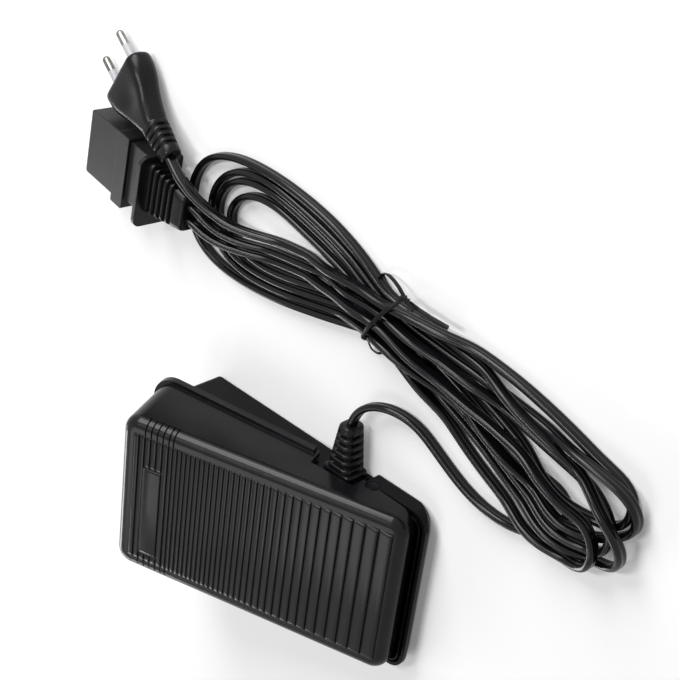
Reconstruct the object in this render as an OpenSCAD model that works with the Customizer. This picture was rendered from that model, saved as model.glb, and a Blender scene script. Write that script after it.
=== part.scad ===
/* [Tread cover] */
// Length of the tread along its slope
tread_len = 146; // [125:1:180]
// Width of the tread
tread_w = 84; // [72:1:104]
// Slope of the tread at rest, in degrees
tread_tilt = 18; // [16:0.5:19]
// Height of the tread over the hinge axis, square to the tread
tread_rise = 17.4; // [16:0.2:21]
// Length of the tread from the hinge axis to its heel end
heel_len = 25; // [23:0.5:30]
// Wall thickness of the cover
cover_wall = 2.4; // [1.6:0.1:3]
// Rounding of the tread's edges
edge_r = 5.5; // [4:0.1:6.5]
// Rounding of the cover's upright corners
corner_r = 8; // [7:0.5:12]
// Draft of the cover's walls, in degrees
cover_draft = 4.5; // [3:0.5:6]
// Slope of the cover's lower edge, in degrees
skirt_tilt = 11; // [9:0.5:12]
// How far the flange stands out of the cover's wall
flange_out = 2; // [1:0.1:3]
// Height of the flange
flange_h = 3; // [2:0.1:6]

/* [Tread ribs] */
// Number of ribs
rib_count = 38; // [30:1:44]
// Ribs of the toe group, which have one pitch
toe_ribs = 6; // [4:1:8]
// Pitch of the toe group
toe_pitch = 3.2; // [2.6:0.1:3.6]
// Pitch of the finest ribs
fine_pitch = 2.4; // [2:0.1:3]
// Step of a rib for each millimetre of its pitch
rib_step = 0.11; // [0.06:0.01:0.16]
// Plain margin from the ribs' ends to the cover's side
rib_margin = 6.8; // [6:0.1:9]

/* [Hinge] */
// Radius of a hinge pin
pin_r = 3.2; // [2.4:0.1:3.8]
// Height of the hinge axis over the floor
hinge_h = 9.5; // [9:0.1:11]
// Running clearance between a hinge pin and the cover's lug
pin_clear = 0.05; // [0.02:0.01:0.1]
// Thickness of the cover's hinge lugs
lug_t = 2.9; // [2:0.1:4]

/* [Base] */
// Wall thickness of the base
base_wall = 2.2; // [1.6:0.1:3]
// Thickness of the base's floor
base_floor = 2.4; // [1.8:0.1:3]
// Height of the base's toe wall
toe_wall_h = 33; // [30:0.5:36]
// Height of the rim round the heel
rim_h = 8.8; // [7:0.1:8.9]
// Wall thickness of the rim
rim_wall = 1.7; // [1.2:0.1:2]
// Rounding of the rim's corners
rim_corner_r = 9; // [6:0.5:12]
// Radius of a rubber foot
foot_r = 6; // [4:0.5:8]
// Thickness of a rubber foot
foot_t = 2; // [1.5:0.1:2.2]

/* [Return springs] */
// Mean radius of a spring's coil
spring_r = 5.8; // [5:0.1:7]
// Radius of the spring wire
wire_r = 0.7; // [0.5:0.05:0.9]
// Turns of a spring
spring_turns = 6; // [4:1:8]

/* [Speed control] */
// Length of the circuit board
board_len = 68; // [66:1:70]
// Width of the circuit board
board_w = 30; // [29:1:33]
// Thickness of the circuit board
board_t = 1.6; // [1:0.1:2]
// Height of the speed control's body
pot_h = 28.4; // [27:0.2:30]
// Gap between the cover's push post and the slider at rest
push_gap = 0.35; // [0.25:0.05:0.6]

/* [Cords] */
// Width of a flat cord
cord_w = 5.8; // [5:0.1:6.4]
// Thickness of a flat cord
cord_t = 3.4; // [2.8:0.1:3.9]
// Height of the hank of folded cord
hank_h = 14; // [11:0.5:18]

/* [Connectors] */
// Width of the machine connector
conn_w = 34; // [30:0.5:40]
// Thickness of the machine connector
conn_t = 16; // [14:0.5:20]
// Radius of a mains plug pin
plug_pin_r = 2; // [1.9:0.05:2.4]
// Length of a mains plug pin out of the plug
plug_pin_len = 19; // [17:0.5:20]
// Distance between the mains plug's pins
plug_pitch = 18.6; // [17:0.2:19]

/* [Hidden] */
$fn = 48;

// Colours
cover_colour = "#2b2b2d";
base_colour = "#212123";
rubber_colour = "#1a1a1b";
cord_colour = "#19191a";
steel_colour = "#b9bcc0";
brass_colour = "#c9a24a";
board_colour = "#8a6a3a";

// Small amounts that fits and cuts share
fuse = 0.5;
cut = 1;
slack = 0.3;

// The cover's ends along the tread, measured from the hinge axis
toe_u = heel_len - tread_len;
heel_u = heel_len;
cover_depth = 62;
cover_hw = tread_w / 2;
skirt_bend_x = -24.5;
skirt_z = hinge_h;

// Outer half width at the hinge, where the base's rim is flush with the cover
rim_hw = cover_hw + tread_rise * tan(cover_draft);
base_hw = cover_hw - cover_wall + 0.6;
base_z = foot_t / 2;
floor_z = base_z + base_floor;
toe_x = toe_u * cos(tread_tilt);
heel_gap = 0.6;
lip_t = 0.9;
lip_gap = 1.2;
lip_h = skirt_z - 0.2;
cover_heel_x = (heel_u + 0.7) * cos(tread_tilt) + (tread_rise - edge_r) * sin(tread_tilt);
lip_x = cover_heel_x + heel_gap + lip_t;
rim_x = lip_x + lip_gap + rim_wall;
rim_start_x = -4.5;

// The flange's outermost point at the toe, where the cover's wall meets its lower edge
flange_u = toe_u - flange_out;
flange_drop = (hinge_h - flange_u * sin(tread_tilt) + tread_rise * cos(tread_tilt)
    + tan(skirt_tilt) * (flange_u * cos(tread_tilt) + tread_rise * sin(tread_tilt) - skirt_bend_x) - skirt_z)
    / (cos(tread_tilt) - tan(cover_draft) * sin(tread_tilt)
    + tan(skirt_tilt) * (tan(cover_draft) * cos(tread_tilt) + sin(tread_tilt)));
flange_x = (flange_u - flange_drop * tan(cover_draft)) * cos(tread_tilt)
    + (tread_rise - flange_drop) * sin(tread_tilt);
hinge_x = -(flange_x + rim_x) / 2;

// Ribs: a toe group of one pitch, then a pitch that grows towards the heel
rib_start_u = toe_u + edge_r + 1.2;
rib_end_u = heel_u - edge_r;
rib_hw = cover_hw - rib_margin;
rib_growth = 3;
fine_ribs = rib_count - toe_ribs;
growth_sum = sum_powers(fine_ribs);
coarse_gain = (rib_end_u - rib_start_u - toe_ribs * toe_pitch - fine_ribs * fine_pitch) / growth_sum;
pad_ribs = [2, 5];
pad_v = [-31, 18];
edge_slot_ribs = [2, 7];
edge_slot_w = 0.7;
edge_slot_depth = 0.7;

function sum_powers(n) = n < 1 ? 0 : pow(n / fine_ribs, rib_growth) + sum_powers(n - 1);
function rib_pitch(i) = i <= toe_ribs ? toe_pitch
    : fine_pitch + coarse_gain * pow((i - toe_ribs) / fine_ribs, rib_growth);
function rib_u(i) = i < 1 ? rib_start_u : rib_u(i - 1) + rib_pitch(i);

// Hinge: lugs of the cover run between the base's bosses and its rim
lug_r = 5.5;
lug_out = rim_hw - rim_wall - slack;
lug_in = lug_out - lug_t;
boss_out = lug_in - slack;
boss_len = 8;
pin_slot_clear = 0.3;

// Snap hooks that stop the cover at rest, and their windows in the toe wall
hook_y = 20;
hook_w = 8;
hook_t = 2.5;
hook_h = 4;
barb = 2.6;
hook_u = toe_u + 11.6;
hook_low_w = -25;
window_top_clear = 0.4;
window_z = floor_z + 1;

// Springs and stops, measured from the toe wall
spring_x = toe_x + 39;
spring_y = base_hw - 13;
seat_z = 16;
seat_r = spring_r + 2.4;
guide_r = spring_r - wire_r - 0.6;
guide_h = 5;
spring_top_z = 42;
stop_x = toe_x + 17;
stop_y = base_hw - 12;
stop_r = 5;
stop_t = 3;
stop_z = 21;
press_max = 7;
stop_post_z = hinge_h + (stop_z + stop_t + slack - hinge_h - stop_x * sin(press_max)) / cos(press_max);

// Circuit board and what stands on it, measured from the board's toe end
board_x = toe_x + 13;
board_z = 8;
board_top = board_z + board_t;
board_hole = [3, board_w / 2 - 3];
standoff_r = 3;
screw_r = 1.1;
screw_head_r = 2.6;
screw_head_h = 1.6;
pot_x = board_x + 14;
pot_t = 8;
pot_w = 12;
slider_top = 33;
slider_h = 3;
slider_len = 10.5;
slider_w = 6;
stem_w = 2;
post_x = pot_x - 6;
post_r = 2.4;
pot_travel = -post_x * press_max * PI / 180;
cap_size = [18, 9, 14];
choke_r = 6.5;
choke_h = 13;
choke_core_r = 3;
choke_flange = 1.6;
sink_x = board_x + 48;
sink_size = [2, 20, 22];
triac_size = [3.2, 10, 9];
triac_tab = [1.3, 10, 15];
triac_y = -8;
triac_lift = 4;
term_size = [8, 10, 10];
term_x = board_x + 57.5;
term_y = -9;

// Strain relief, cord clamp and the inner end of the cord
relief_x = -18;
relief_z = 8.5;
collar = [17, 2.6, 13.2];
neck = [8, base_wall + 0.2, 9.6];
inner_flange = [12, 2, 9.6];
boot_len = 23;
boot_base = [10.6, 12.4];
boot_tip = [6.6, 9.2];
boot_slots = 5;
slot_w = 1.3;
slot_d = 1.7;
relief_y = base_hw;
collar_y = relief_y + 0.1;
boot_y = collar_y + collar[1];
inner_y = relief_y - base_wall - 0.1;
tail_y = inner_y - inner_flange[1];
clamp_size = [22, 6, 3];
clamp_y = tail_y - 8;
clamp_pitch = 15;
clamp_post_r = 3.2;

// Cord routes on the floor, measured from the tip of the strain relief
cord_at = [hinge_x + relief_x, boot_y + boot_len, 0];
pedal_route = [
    [0, -0.5, 8.5], [0.7, 5, 8.3], [4.2, 10.6, 7], [11.2, 14.8, 5.5], [20.2, 16, 4], [31.7, 14.6, 3],
    [45.2, 7.6, 3], [58.7, 0.4, 3], [69.2, -3.4, 3], [78.7, -5, 3], [88.7, -4.6, 3], [98.2, -2, 3], [106.7, 2.6, 3]
];
lead_a_route = [[-111.9, 63.8, 14.7], [-106.7, 63.2, 14.9], [-100.7, 60.6, 13], [-94.7, 57.6, 10.5], [-88.7, 55.6, 8]];
lead_b_route = [[-112.7, 56.6, 14.7], [-107.5, 56, 14.9], [-100.7, 53.6, 13], [-94.7, 51.6, 10.5], [-88.7, 50.7, 8]];
plug_route = [
    [-128.2, 80.8, 13.7], [-122.7, 78.6, 15], [-117.7, 76.3, 16.5], [-112.2, 73.3, 17.5], [-105.7, 70.4, 15.5],
    [-99.7, 67.0, 12], [-93.7, 64.4, 8.5]
];
hank_left = [-89, 63];
hank_left_r = 29;
hank_waist = [8.5, 56.5];
hank_waist_r = 13;
hank_right = [117.5, 26];
hank_right_r = 28;
hank_turn = atan2(hank_right[1] - hank_left[1], hank_right[0] - hank_left[0]);
tie_t = 1;
tie_len = 2.4;

// Machine connector and mains plug, where they lie
conn_at = [-185, 68.5];
conn_turn = -6.5;
conn_lean = 5.2;
conn_len = 33;
conn_grip = 9.4;
conn_step = 0.3;
conn_key = 3.5;
collar_shift = -2.4;
conn_neck = [14.5, 31, 13];
conn_collar = [2.2, 37, 24];
conn_boot_len = 27;
conn_boot_base = [27, 16.5];
conn_boot_tip = [19, 11];
conn_boot_slots = 5;
contact_pitch = 9;
contact_r = 2.6;
contact_bore_r = 1.25;
contact_len = 18;
contact_inset = 1.5;
plug_at = [-170.2, 105.7];
plug_turn = 149.3;
plug_lean = 8;
plug_w = 35.3;
plug_t = 13.7;
plug_len = 32;
plug_neck_w = 13;
plug_boot_len = 19.2;
plug_boot_base = [11, 9.5];
plug_boot_tip = [8, 7];
plug_boot_slots = 4;
plug_root = 8;
plug_root_r = plug_pin_r - 0.3;
sleeve_len = 10;
sleeve_t = 0.5;
plug_z = plug_t / 2;

// Points of an arc
function arc(c, r, a0, a1, n = 8) = [
    for (i = [0:n]) c + r * [cos(a0 + (a1 - a0) * i / n), sin(a0 + (a1 - a0) * i / n)]
];

// Outline of a box with round corners, of one radius at each end
function round_box(x0, x1, hw, r0, r1) = concat(
    arc([x1 - r1, hw - r1], r1, 0, 90), arc([x0 + r0, hw - r0], r0, 90, 180),
    arc([x0 + r0, r0 - hw], r0, 180, 270), arc([x1 - r1, r1 - hw], r1, 270, 360)
);

// Round end of the hank, between the two lines that run to it from the waist
function lobe(c, r) = let (
        d = c - hank_waist,
        turn = atan2(d[1], d[0]),
        lean = acos((hank_waist_r - r) / norm(d))
    ) arc(c, r, turn - lean, turn + lean, 20);

// Section of the cover's edge: flat top, rounded edge, drafted wall
function edge_section(rc, r, depth) = let (
        c = [rc - r * (1 - sin(cover_draft)) / cos(cover_draft), -r]
    ) concat(
        [[0, -depth], [rc + depth * tan(cover_draft), -depth]], arc(c, r, cover_draft, 90, 8), [[0, 0]]
    );

// Directions along a route
function unit(v) = v / norm(v);
function along(p, i) = unit(p[min(i + 1, len(p) - 1)] - p[max(i - 1, 0)]);
function across(t) = unit(cross(t, [0, 0, 1]));

// Flat cord swept along a route, its width upright
module flat_cord(route, w, t) {
    sides = 8;
    n = len(route);
    ring = [for (k = [0:sides - 1]) let (a = 22.5 + 45 * k) [t / 2 * cos(a), w / 2 * sin(a)] / cos(22.5)];
    points = [
        for (i = [0:n - 1]) let (d = along(route, i), s = across(d), u = cross(s, d))
            for (q = ring) route[i] + q[0] * s + q[1] * u
    ];
    sweep_faces(points, sides, n);
}

// Skin over rings of points
module sweep_faces(points, sides, n) {
    skin = [
        for (i = [0:n - 2], k = [0:sides - 1]) let (
                a = i * sides + k,
                b = i * sides + (k + 1) % sides
            ) each [[a, a + sides, b], [b, a + sides, b + sides]]
    ];
    first = [for (k = [0:sides - 1]) k];
    last = [for (k = [sides - 1:-1:0]) (n - 1) * sides + k];
    polyhedron(points, concat(skin, [first, last]), convexity = 6);
}

// Round wire swept along a route
module round_wire(route, r) {
    sides = 6;
    n = len(route);
    points = [
        for (i = [0:n - 1]) let (d = along(route, i), s = across(d), u = cross(s, d))
            for (k = [0:sides - 1]) route[i] + r * (cos(60 * k) * s + sin(60 * k) * u)
    ];
    sweep_faces(points, sides, n);
}

// Frames: the hinge axis over the floor, and the tread's own slope
module on_hinge() {
    translate([hinge_x, 0, 0]) children();
}

module on_tread() {
    translate([0, 0, hinge_h]) rotate([0, tread_tilt, 0]) children();
}

// Outline in the XZ plane, drawn out along Y about the middle
module across_y(half) {
    translate([0, half, 0]) rotate([90, 0, 0]) linear_extrude(2 * half) children();
}

module both_sides() {
    children();
    mirror([0, 1, 0]) children();
}

// Rounded, drafted block of the cover, grown by an amount all round
module cover_block(grow) {
    rc = corner_r + grow;
    r = max(edge_r + min(grow, 0), 1);
    top = tread_rise + min(grow, 0);
    u0 = toe_u - grow;
    u1 = heel_u + grow;
    hw = cover_hw + grow;
    section = edge_section(rc, r, cover_depth);
    run = u1 - u0 - 2 * rc;
    span = 2 * (hw - rc);
    translate([0, 0, top]) {
        for (c = [[u1 - rc, hw - rc, 0], [u0 + rc, hw - rc, 90], [u0 + rc, rc - hw, 180], [u1 - rc, rc - hw, 270]])
            translate([c[0], c[1], 0]) rotate([0, 0, c[2]]) rotate_extrude(angle = 90) polygon(section);
        both_sides() translate([u0 + rc, hw - rc, 0]) rotate([90, 0, 90]) linear_extrude(run) polygon(section);
        translate([u1 - rc, hw - rc, 0]) rotate([90, 0, 0]) linear_extrude(span) polygon(section);
        translate([u0 + rc, hw - rc, 0]) mirror([1, 0, 0]) rotate([90, 0, 0]) linear_extrude(span) polygon(section);
        translate([u0 + rc, rc - hw, -cover_depth]) cube([run, span, cover_depth]);
    }
}

// Height of the cover's lower edge at a place along the base
function skirt_height(x) = x > skirt_bend_x ? skirt_z : skirt_z + (skirt_bend_x - x) * tan(skirt_tilt);

module below_skirt() {
    far = 2 * tread_len;
    across_y(tread_w)
        polygon([[-far, -far], [far, -far], [far, skirt_z], [skirt_bend_x, skirt_z], [-far, skirt_height(-far)]]);
}

module flange_band() {
    end_x = relief_x - 16;
    far = 2 * tread_len;
    across_y(tread_w) polygon([
        [-far, skirt_height(-far)], [end_x, skirt_height(end_x)],
        [end_x + flange_h * sin(tread_tilt), skirt_height(end_x) + flange_h], [-far, skirt_height(-far) + flange_h]
    ]);
}

// Opening of the cover's side wall round the strain relief
module cord_notch() {
    translate([0, 2 * cover_hw, 0]) rotate([90, 0, 0]) linear_extrude(cover_hw + 6) polygon([
        [relief_x - 18, -cut], [relief_x - 11.5, 19.5], [relief_x + 12.5, 16.5], [relief_x + 12.5, -cut]
    ]);
}

module tread_ribs() {
    teeth = [
        for (i = [0:rib_count - 1]) each [[rib_u(i), 0], [rib_u(i + 1), rib_step * rib_pitch(i + 1)]]
    ];
    translate([0, 0, tread_rise]) across_y(rib_hw)
        polygon(concat([[rib_start_u, -fuse]], teeth, [[rib_u(rib_count), -fuse]]));
    pad_h = rib_step * toe_pitch + 0.1;
    translate([rib_u(pad_ribs[0]), pad_v[0], tread_rise - fuse])
        cube([rib_u(pad_ribs[1]) - rib_u(pad_ribs[0]), pad_v[1] - pad_v[0], fuse + pad_h]);
}

// Slots that carry the toe group's grooves over the tread's long edges
module edge_slots() {
    difference() {
        both_sides() for (i = [edge_slot_ribs[0]:edge_slot_ribs[1]])
            translate([rib_u(i) - edge_slot_w / 2, rib_hw, tread_rise - edge_r])
                cube([edge_slot_w, rib_margin + cut, edge_r + cut]);
        cover_block(-edge_slot_depth);
    }
}

module hinge_lug() {
    translate([0, lug_out, hinge_h]) rotate([90, 0, 0]) linear_extrude(lug_t) {
        circle(lug_r);
        translate([-lug_r, 0]) square([2 * lug_r, 2 * tread_rise]);
    }
}

module snap_hook() {
    translate([hook_u, hook_y - hook_w / 2, hook_low_w]) {
        cube([hook_t, hook_w, tread_rise - hook_low_w]);
        translate([-barb, 0, 0]) cube([barb + fuse, hook_w, hook_h]);
    }
}

// Post with a round tip that pushes the speed control's slider
module push_post() {
    rotate_extrude()
        polygon(concat([[0, tread_len]], [[0, 0]], arc([0, post_r], post_r, -80, 0, 6), [[post_r, tread_len]]));
}

// What stands inside the cover: lugs, spring seats, stop posts, push post and hooks
module cover_inside() {
    intersection() {
        on_tread() cover_block(-cover_wall / 2);
        union() {
            both_sides() {
                hinge_lug();
                translate([spring_x, spring_y, spring_top_z]) cylinder(h = tread_len, r = seat_r);
                translate([spring_x, spring_y, spring_top_z - guide_h]) cylinder(h = guide_h + cut, r = guide_r);
                translate([stop_x, stop_y, stop_post_z]) cylinder(h = tread_len, r = stop_r);
                on_tread() snap_hook();
            }
            translate([post_x, 0, slider_top + push_gap]) push_post();
        }
    }
}

module pedal_cover() {
    color(cover_colour) on_hinge() difference() {
        union() {
            difference() {
                union() {
                    difference() {
                        on_tread() cover_block(0);
                        below_skirt();
                    }
                    intersection() {
                        on_tread() cover_block(flange_out);
                        flange_band();
                    }
                }
                on_tread() cover_block(-cover_wall);
                cord_notch();
            }
            on_tread() tread_ribs();
            cover_inside();
        }
        on_tread() edge_slots();
        both_sides() translate([0, lug_in - cut, hinge_h]) rotate([-90, 0, 0])
            cylinder(h = lug_t + 2 * cut, r = pin_r + pin_clear);
        both_sides() translate([0, lug_out, hinge_h]) rotate([-90, 0, 0])
            cylinder(h = 2 * cover_wall + cut, r = pin_r + pin_slot_clear);
    }
}

// Outline of the base: the tray under the cover, and the wider part round the heel
module tray_outline(inset) {
    polygon(round_box(toe_x + inset, rim_x - rim_wall, base_hw - inset, 4 - inset, 4 - inset));
}

module heel_outline(inset) {
    polygon(round_box(rim_start_x - 2 * inset, rim_x - inset, rim_hw - inset, 0.5, rim_corner_r - inset));
}

module base_walls() {
    top_slope_x = -8;
    intersection() {
        translate([0, 0, base_z]) linear_extrude(toe_wall_h) difference() {
            tray_outline(0);
            tray_outline(base_wall);
        }
        across_y(tread_w) polygon([
            [toe_x - cut, base_z], [toe_x - cut, toe_wall_h], [toe_x + base_wall, toe_wall_h],
            [top_slope_x, 14], [top_slope_x, base_z]
        ]);
    }
}

// Rim round the heel: outer wall, then a thin lip behind a groove
module heel_rim() {
    groove_z = rim_h - 2.5;
    translate([0, 0, base_z]) linear_extrude(rim_h - base_z) difference() {
        heel_outline(0);
        heel_outline(rim_wall);
        translate([rim_start_x - cut, -boss_out]) square([2 * cut, 2 * boss_out]);
    }
    lip_start_x = rim_x - rim_corner_r;
    intersection() {
        translate([0, 0, base_z]) linear_extrude(lip_h - base_z) difference() {
            heel_outline(rim_wall + lip_gap);
            heel_outline(rim_wall + lip_gap + lip_t);
        }
        translate([lip_start_x, -rim_hw, 0]) cube([rim_corner_r, 2 * rim_hw, lip_h]);
    }
    intersection() {
        translate([0, 0, base_z]) linear_extrude(groove_z - base_z) difference() {
            heel_outline(fuse);
            heel_outline(rim_wall + lip_gap + lip_t / 2);
        }
        translate([lip_start_x, -rim_hw, 0]) cube([rim_corner_r, 2 * rim_hw, lip_h]);
    }
}

// Posts of the base's floor that carry springs, stops, board and clamp
module base_posts() {
    both_sides() {
        translate([spring_x, spring_y, base_z]) {
            cylinder(h = seat_z - base_z, r = seat_r);
            cylinder(h = seat_z - base_z + guide_h, r = guide_r);
        }
        translate([stop_x, stop_y, base_z]) cylinder(h = stop_z - base_z, r = stop_r);
        translate([-lug_r - 0.5, boss_out - boss_len, base_z]) cube([2 * lug_r + 1, boss_len, hinge_h + 5 - base_z]);
        for (x = [board_x + board_hole[0], board_x + board_len - board_hole[0]])
            translate([x, board_hole[1], base_z]) cylinder(h = board_z - base_z, r = standoff_r);
    }
    for (side = [-1, 1]) translate([relief_x + side * clamp_pitch / 2, clamp_y, base_z])
        cylinder(h = relief_z + cord_w / 2 - base_z, r = clamp_post_r);
}

module base_shell() {
    chamfer = 4;
    screw_hole_z = floor_z + 0.6;
    color(base_colour) on_hinge() difference() {
        union() {
            intersection() {
                translate([0, 0, base_z]) linear_extrude(base_floor) union() {
                    tray_outline(0);
                    heel_outline(0);
                }
                across_y(tread_w) polygon([
                    [toe_x, 0], [rim_x - chamfer, 0], [rim_x, rim_h - 2], [rim_x, rim_h], [toe_x, rim_h]
                ]);
            }
            base_walls();
            intersection() {
                heel_rim();
                across_y(tread_w) polygon([
                    [toe_x, 0], [rim_x - chamfer, 0], [rim_x, rim_h - 2], [rim_x, toe_wall_h], [toe_x, toe_wall_h]
                ]);
            }
            base_posts();
        }
        both_sides() {
            translate([0, boss_out - boss_len - cut, hinge_h]) rotate([-90, 0, 0])
                cylinder(h = boss_len + 2 * cut, r = pin_r);
            translate([0, lug_out, hinge_h]) rotate([-90, 0, 0])
                cylinder(h = rim_wall + 2 * cut, r = pin_r + pin_clear);
            translate([toe_x - cut, hook_y - hook_w / 2 - 0.8, window_z])
                cube([base_wall + 2 * cut, hook_w + 1.6, hook_window_top - window_z]);
            for (x = [board_x + board_hole[0], board_x + board_len - board_hole[0]])
                translate([x, board_hole[1], screw_hole_z]) cylinder(h = board_z, r = screw_r);
            for (x = [toe_x + 12, rim_x - 15])
                translate([x, base_hw - 9.5, -cut]) cylinder(h = foot_t + cut, r = foot_r);
        }
        translate([relief_x - neck[0] / 2 - 0.1, relief_y - base_wall - cut, relief_z - neck[2] / 2])
            cube([neck[0] + 0.2, base_wall + 2 * cut, toe_wall_h]);
        for (side = [-1, 1]) translate([relief_x + side * clamp_pitch / 2, clamp_y, screw_hole_z])
            cylinder(h = toe_wall_h, r = screw_r);
    }
}

hook_window_top = hinge_h - (hook_u - barb) * sin(tread_tilt) + (hook_low_w + hook_h) * cos(tread_tilt)
    + window_top_clear;

module hinge_pins() {
    color(base_colour) on_hinge() both_sides() translate([0, boss_out - boss_len, hinge_h]) rotate([-90, 0, 0])
        cylinder(h = rim_hw - boss_out + boss_len, r = pin_r);
}

module rubber_feet() {
    color(rubber_colour) on_hinge() both_sides() for (x = [toe_x + 12, rim_x - 15])
        translate([x, base_hw - 9.5, 0]) rotate_extrude()
            polygon([[0, 0], [foot_r - 0.8, 0], [foot_r, 0.8], [foot_r, foot_t], [0, foot_t]]);
}

module return_springs() {
    steps = 10;
    turns = spring_turns;
    rise = (spring_top_z - seat_z - 2 * wire_r) / turns / steps;
    route = [
        for (i = [0:turns * steps]) let (a = 360 * i / steps)
            [spring_r * cos(a), spring_r * sin(a), wire_r + rise * i]
    ];
    color(steel_colour) on_hinge() for (side = [-1, 1])
        translate([spring_x, side * spring_y, seat_z]) round_wire(route, wire_r);
}

module bump_stops() {
    color(rubber_colour) on_hinge() both_sides() translate([stop_x, stop_y, stop_z]) rotate_extrude()
        polygon([[0, 0], [stop_r, 0], [stop_r, stop_t - 1], [stop_r - 1, stop_t], [0, stop_t]]);
}

module circuit_board() {
    hole_clear = 0.2;
    color(board_colour) on_hinge() difference() {
        translate([board_x, -board_w / 2, board_z]) cube([board_len, board_w, board_t]);
        both_sides() for (x = [board_x + board_hole[0], board_x + board_len - board_hole[0]])
            translate([x, board_hole[1], board_z - cut]) cylinder(h = board_t + 2 * cut, r = screw_r + hole_clear);
    }
}

// Pan head screw, its head's underside at z = 0
module pan_screw(shank) {
    difference() {
        rotate_extrude() polygon(concat(
            [[0, -shank], [screw_r, -shank], [screw_r, 0], [screw_head_r, 0]],
            arc([screw_head_r - 1, screw_head_h - 1], 1, 0, 90, 4), [[0, screw_head_h]]
        ));
        for (turn = [0, 90]) rotate([0, 0, turn]) translate([-1.5, -0.3, screw_head_h - 0.8]) cube([3, 0.6, 1]);
    }
}

module board_screws() {
    shank = board_top - floor_z - 1;
    color(steel_colour) on_hinge() both_sides()
        for (x = [board_x + board_hole[0], board_x + board_len - board_hole[0]])
            translate([x, board_hole[1], board_top]) pan_screw(shank);
}

module speed_control_body() {
    slot_w = stem_w + 1;
    slot_low = slider_top - slider_h - pot_travel - 1;
    slot_in = pot_t - 3;
    color("#3a3d42") on_hinge() difference() {
        translate([pot_x, -pot_w / 2, board_top]) cube([pot_t, pot_w, pot_h]);
        translate([pot_x - cut, -slot_w / 2, slot_low]) cube([slot_in + cut, slot_w, slider_top + 1 - slot_low]);
    }
}

module speed_control_slider() {
    reach = 4;
    gap = 0.4;
    color("#c8c4b8") on_hinge() {
        translate([pot_x - gap - slider_len, -slider_w / 2, slider_top - slider_h])
            cube([slider_len, slider_w, slider_h]);
        translate([pot_x - gap - fuse, -stem_w / 2, slider_top - slider_h]) cube([reach + fuse, stem_w, slider_h]);
    }
}

module heat_sink() {
    fin_t = 1.2;
    fins = 5;
    color("#c3c6c9") on_hinge() {
        translate([sink_x, -13, board_top]) cube(sink_size);
        for (i = [0:fins - 1])
            translate([sink_x - 4, -13 + i * (sink_size[1] - fin_t) / (fins - 1), board_top + 3])
                cube([4 + fuse, fin_t, sink_size[2] - 3]);
    }
}

module triac() {
    leg = 0.7;
    face_x = sink_x + sink_size[0];
    color("#1d1d20") on_hinge() {
        translate([face_x, triac_y, board_top + triac_lift]) cube(triac_tab);
        translate([face_x + triac_tab[0] - fuse, triac_y, board_top + triac_lift])
            cube([triac_size[0] + fuse, triac_size[1], triac_size[2]]);
        for (i = [-1:1]) translate([face_x + 2.4, triac_y + triac_size[1] / 2 + i * 2.54 - leg / 2, board_top])
            cube([0.5, leg, triac_lift + fuse]);
    }
}

module suppression_capacitor() {
    color("#c7a437") on_hinge() translate([board_x + 26, 2, board_top]) cube(cap_size);
}

module choke_core() {
    color("#4a4a4d") on_hinge() translate([board_x + 35, -7, board_top]) rotate_extrude() polygon([
        [0, 0], [choke_r, 0], [choke_r, choke_flange], [choke_core_r, choke_flange],
        [choke_core_r, choke_h - choke_flange], [choke_r, choke_h - choke_flange], [choke_r, choke_h], [0, choke_h]
    ]);
}

module choke_winding() {
    color("#b06a35") on_hinge() translate([board_x + 35, -7, board_top + choke_flange]) difference() {
        cylinder(h = choke_h - 2 * choke_flange, r = choke_r - 0.8);
        translate([0, 0, -cut]) cylinder(h = choke_h, r = choke_core_r);
    }
}

module resistors() {
    body_r = 1.2;
    leg_r = 0.3;
    lift = 1.4;
    span = 10;
    color("#c9b58a") on_hinge() for (y = [4, 7.5]) translate([board_x + 56, y, board_top]) {
        translate([2, 0, lift]) rotate([0, 90, 0]) cylinder(h = span - 4, r = body_r);
        translate([0, 0, lift]) rotate([0, 90, 0]) cylinder(h = span, r = leg_r);
        for (x = [leg_r, span - leg_r]) translate([x, 0, 0]) cylinder(h = lift + leg_r, r = leg_r);
    }
}

module terminal_block() {
    color("#2e6b4f") on_hinge() translate([term_x, term_y, board_top]) difference() {
        cube(term_size);
        for (y = [2.5, 7.5]) {
            translate([term_size[0] / 2, y, term_size[2] - 4]) cylinder(h = 5, r = 1.6);
            translate([term_size[0] - 5, y, 3.5]) rotate([0, 90, 0]) cylinder(h = 6, r = 1.2);
        }
    }
}

module terminal_screws() {
    color(steel_colour) on_hinge() for (y = [2.5, 7.5])
        translate([term_x + term_size[0] / 2, term_y + y, board_top + term_size[2] - 4]) difference() {
            cylinder(h = 3, r = 1.6);
            translate([-2, -0.3, 2.2]) cube([4, 0.6, 1]);
        }
}

module lead_wires() {
    wire_z = board_top + 3.5;
    wire = 1.1;
    end_x = term_x + term_size[0];
    color("#5a3a2a") on_hinge() for (i = [0, 1]) round_wire([
        [end_x - 5, term_y + 2.5 + 5 * i, wire_z], [end_x + 1, term_y + 2.5 + 5 * i, wire_z],
        [end_x + 7, term_y + 6 + 4 * i, wire_z - 1], [relief_x - 4, 6 + 3 * i, relief_z + 2.6 * i - 1.3],
        [relief_x, 14 + 2 * i, relief_z + 2.6 * i - 1.3], [relief_x, tail_y - 14, relief_z + 2.6 * i - 1.3]
    ], wire);
}

module cord_tail() {
    color(cord_colour) on_hinge() translate([relief_x - cord_t / 2, tail_y - 14, relief_z - cord_w / 2])
        cube([cord_t, 14, cord_w]);
}

module cord_clamp() {
    color(base_colour) on_hinge() difference() {
        translate([relief_x - clamp_size[0] / 2, clamp_y - clamp_size[1] / 2, relief_z + cord_w / 2]) cube(clamp_size);
        for (side = [-1, 1]) translate([relief_x + side * clamp_pitch / 2, clamp_y, relief_z])
            cylinder(h = toe_wall_h, r = screw_r + 0.2);
    }
}

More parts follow.
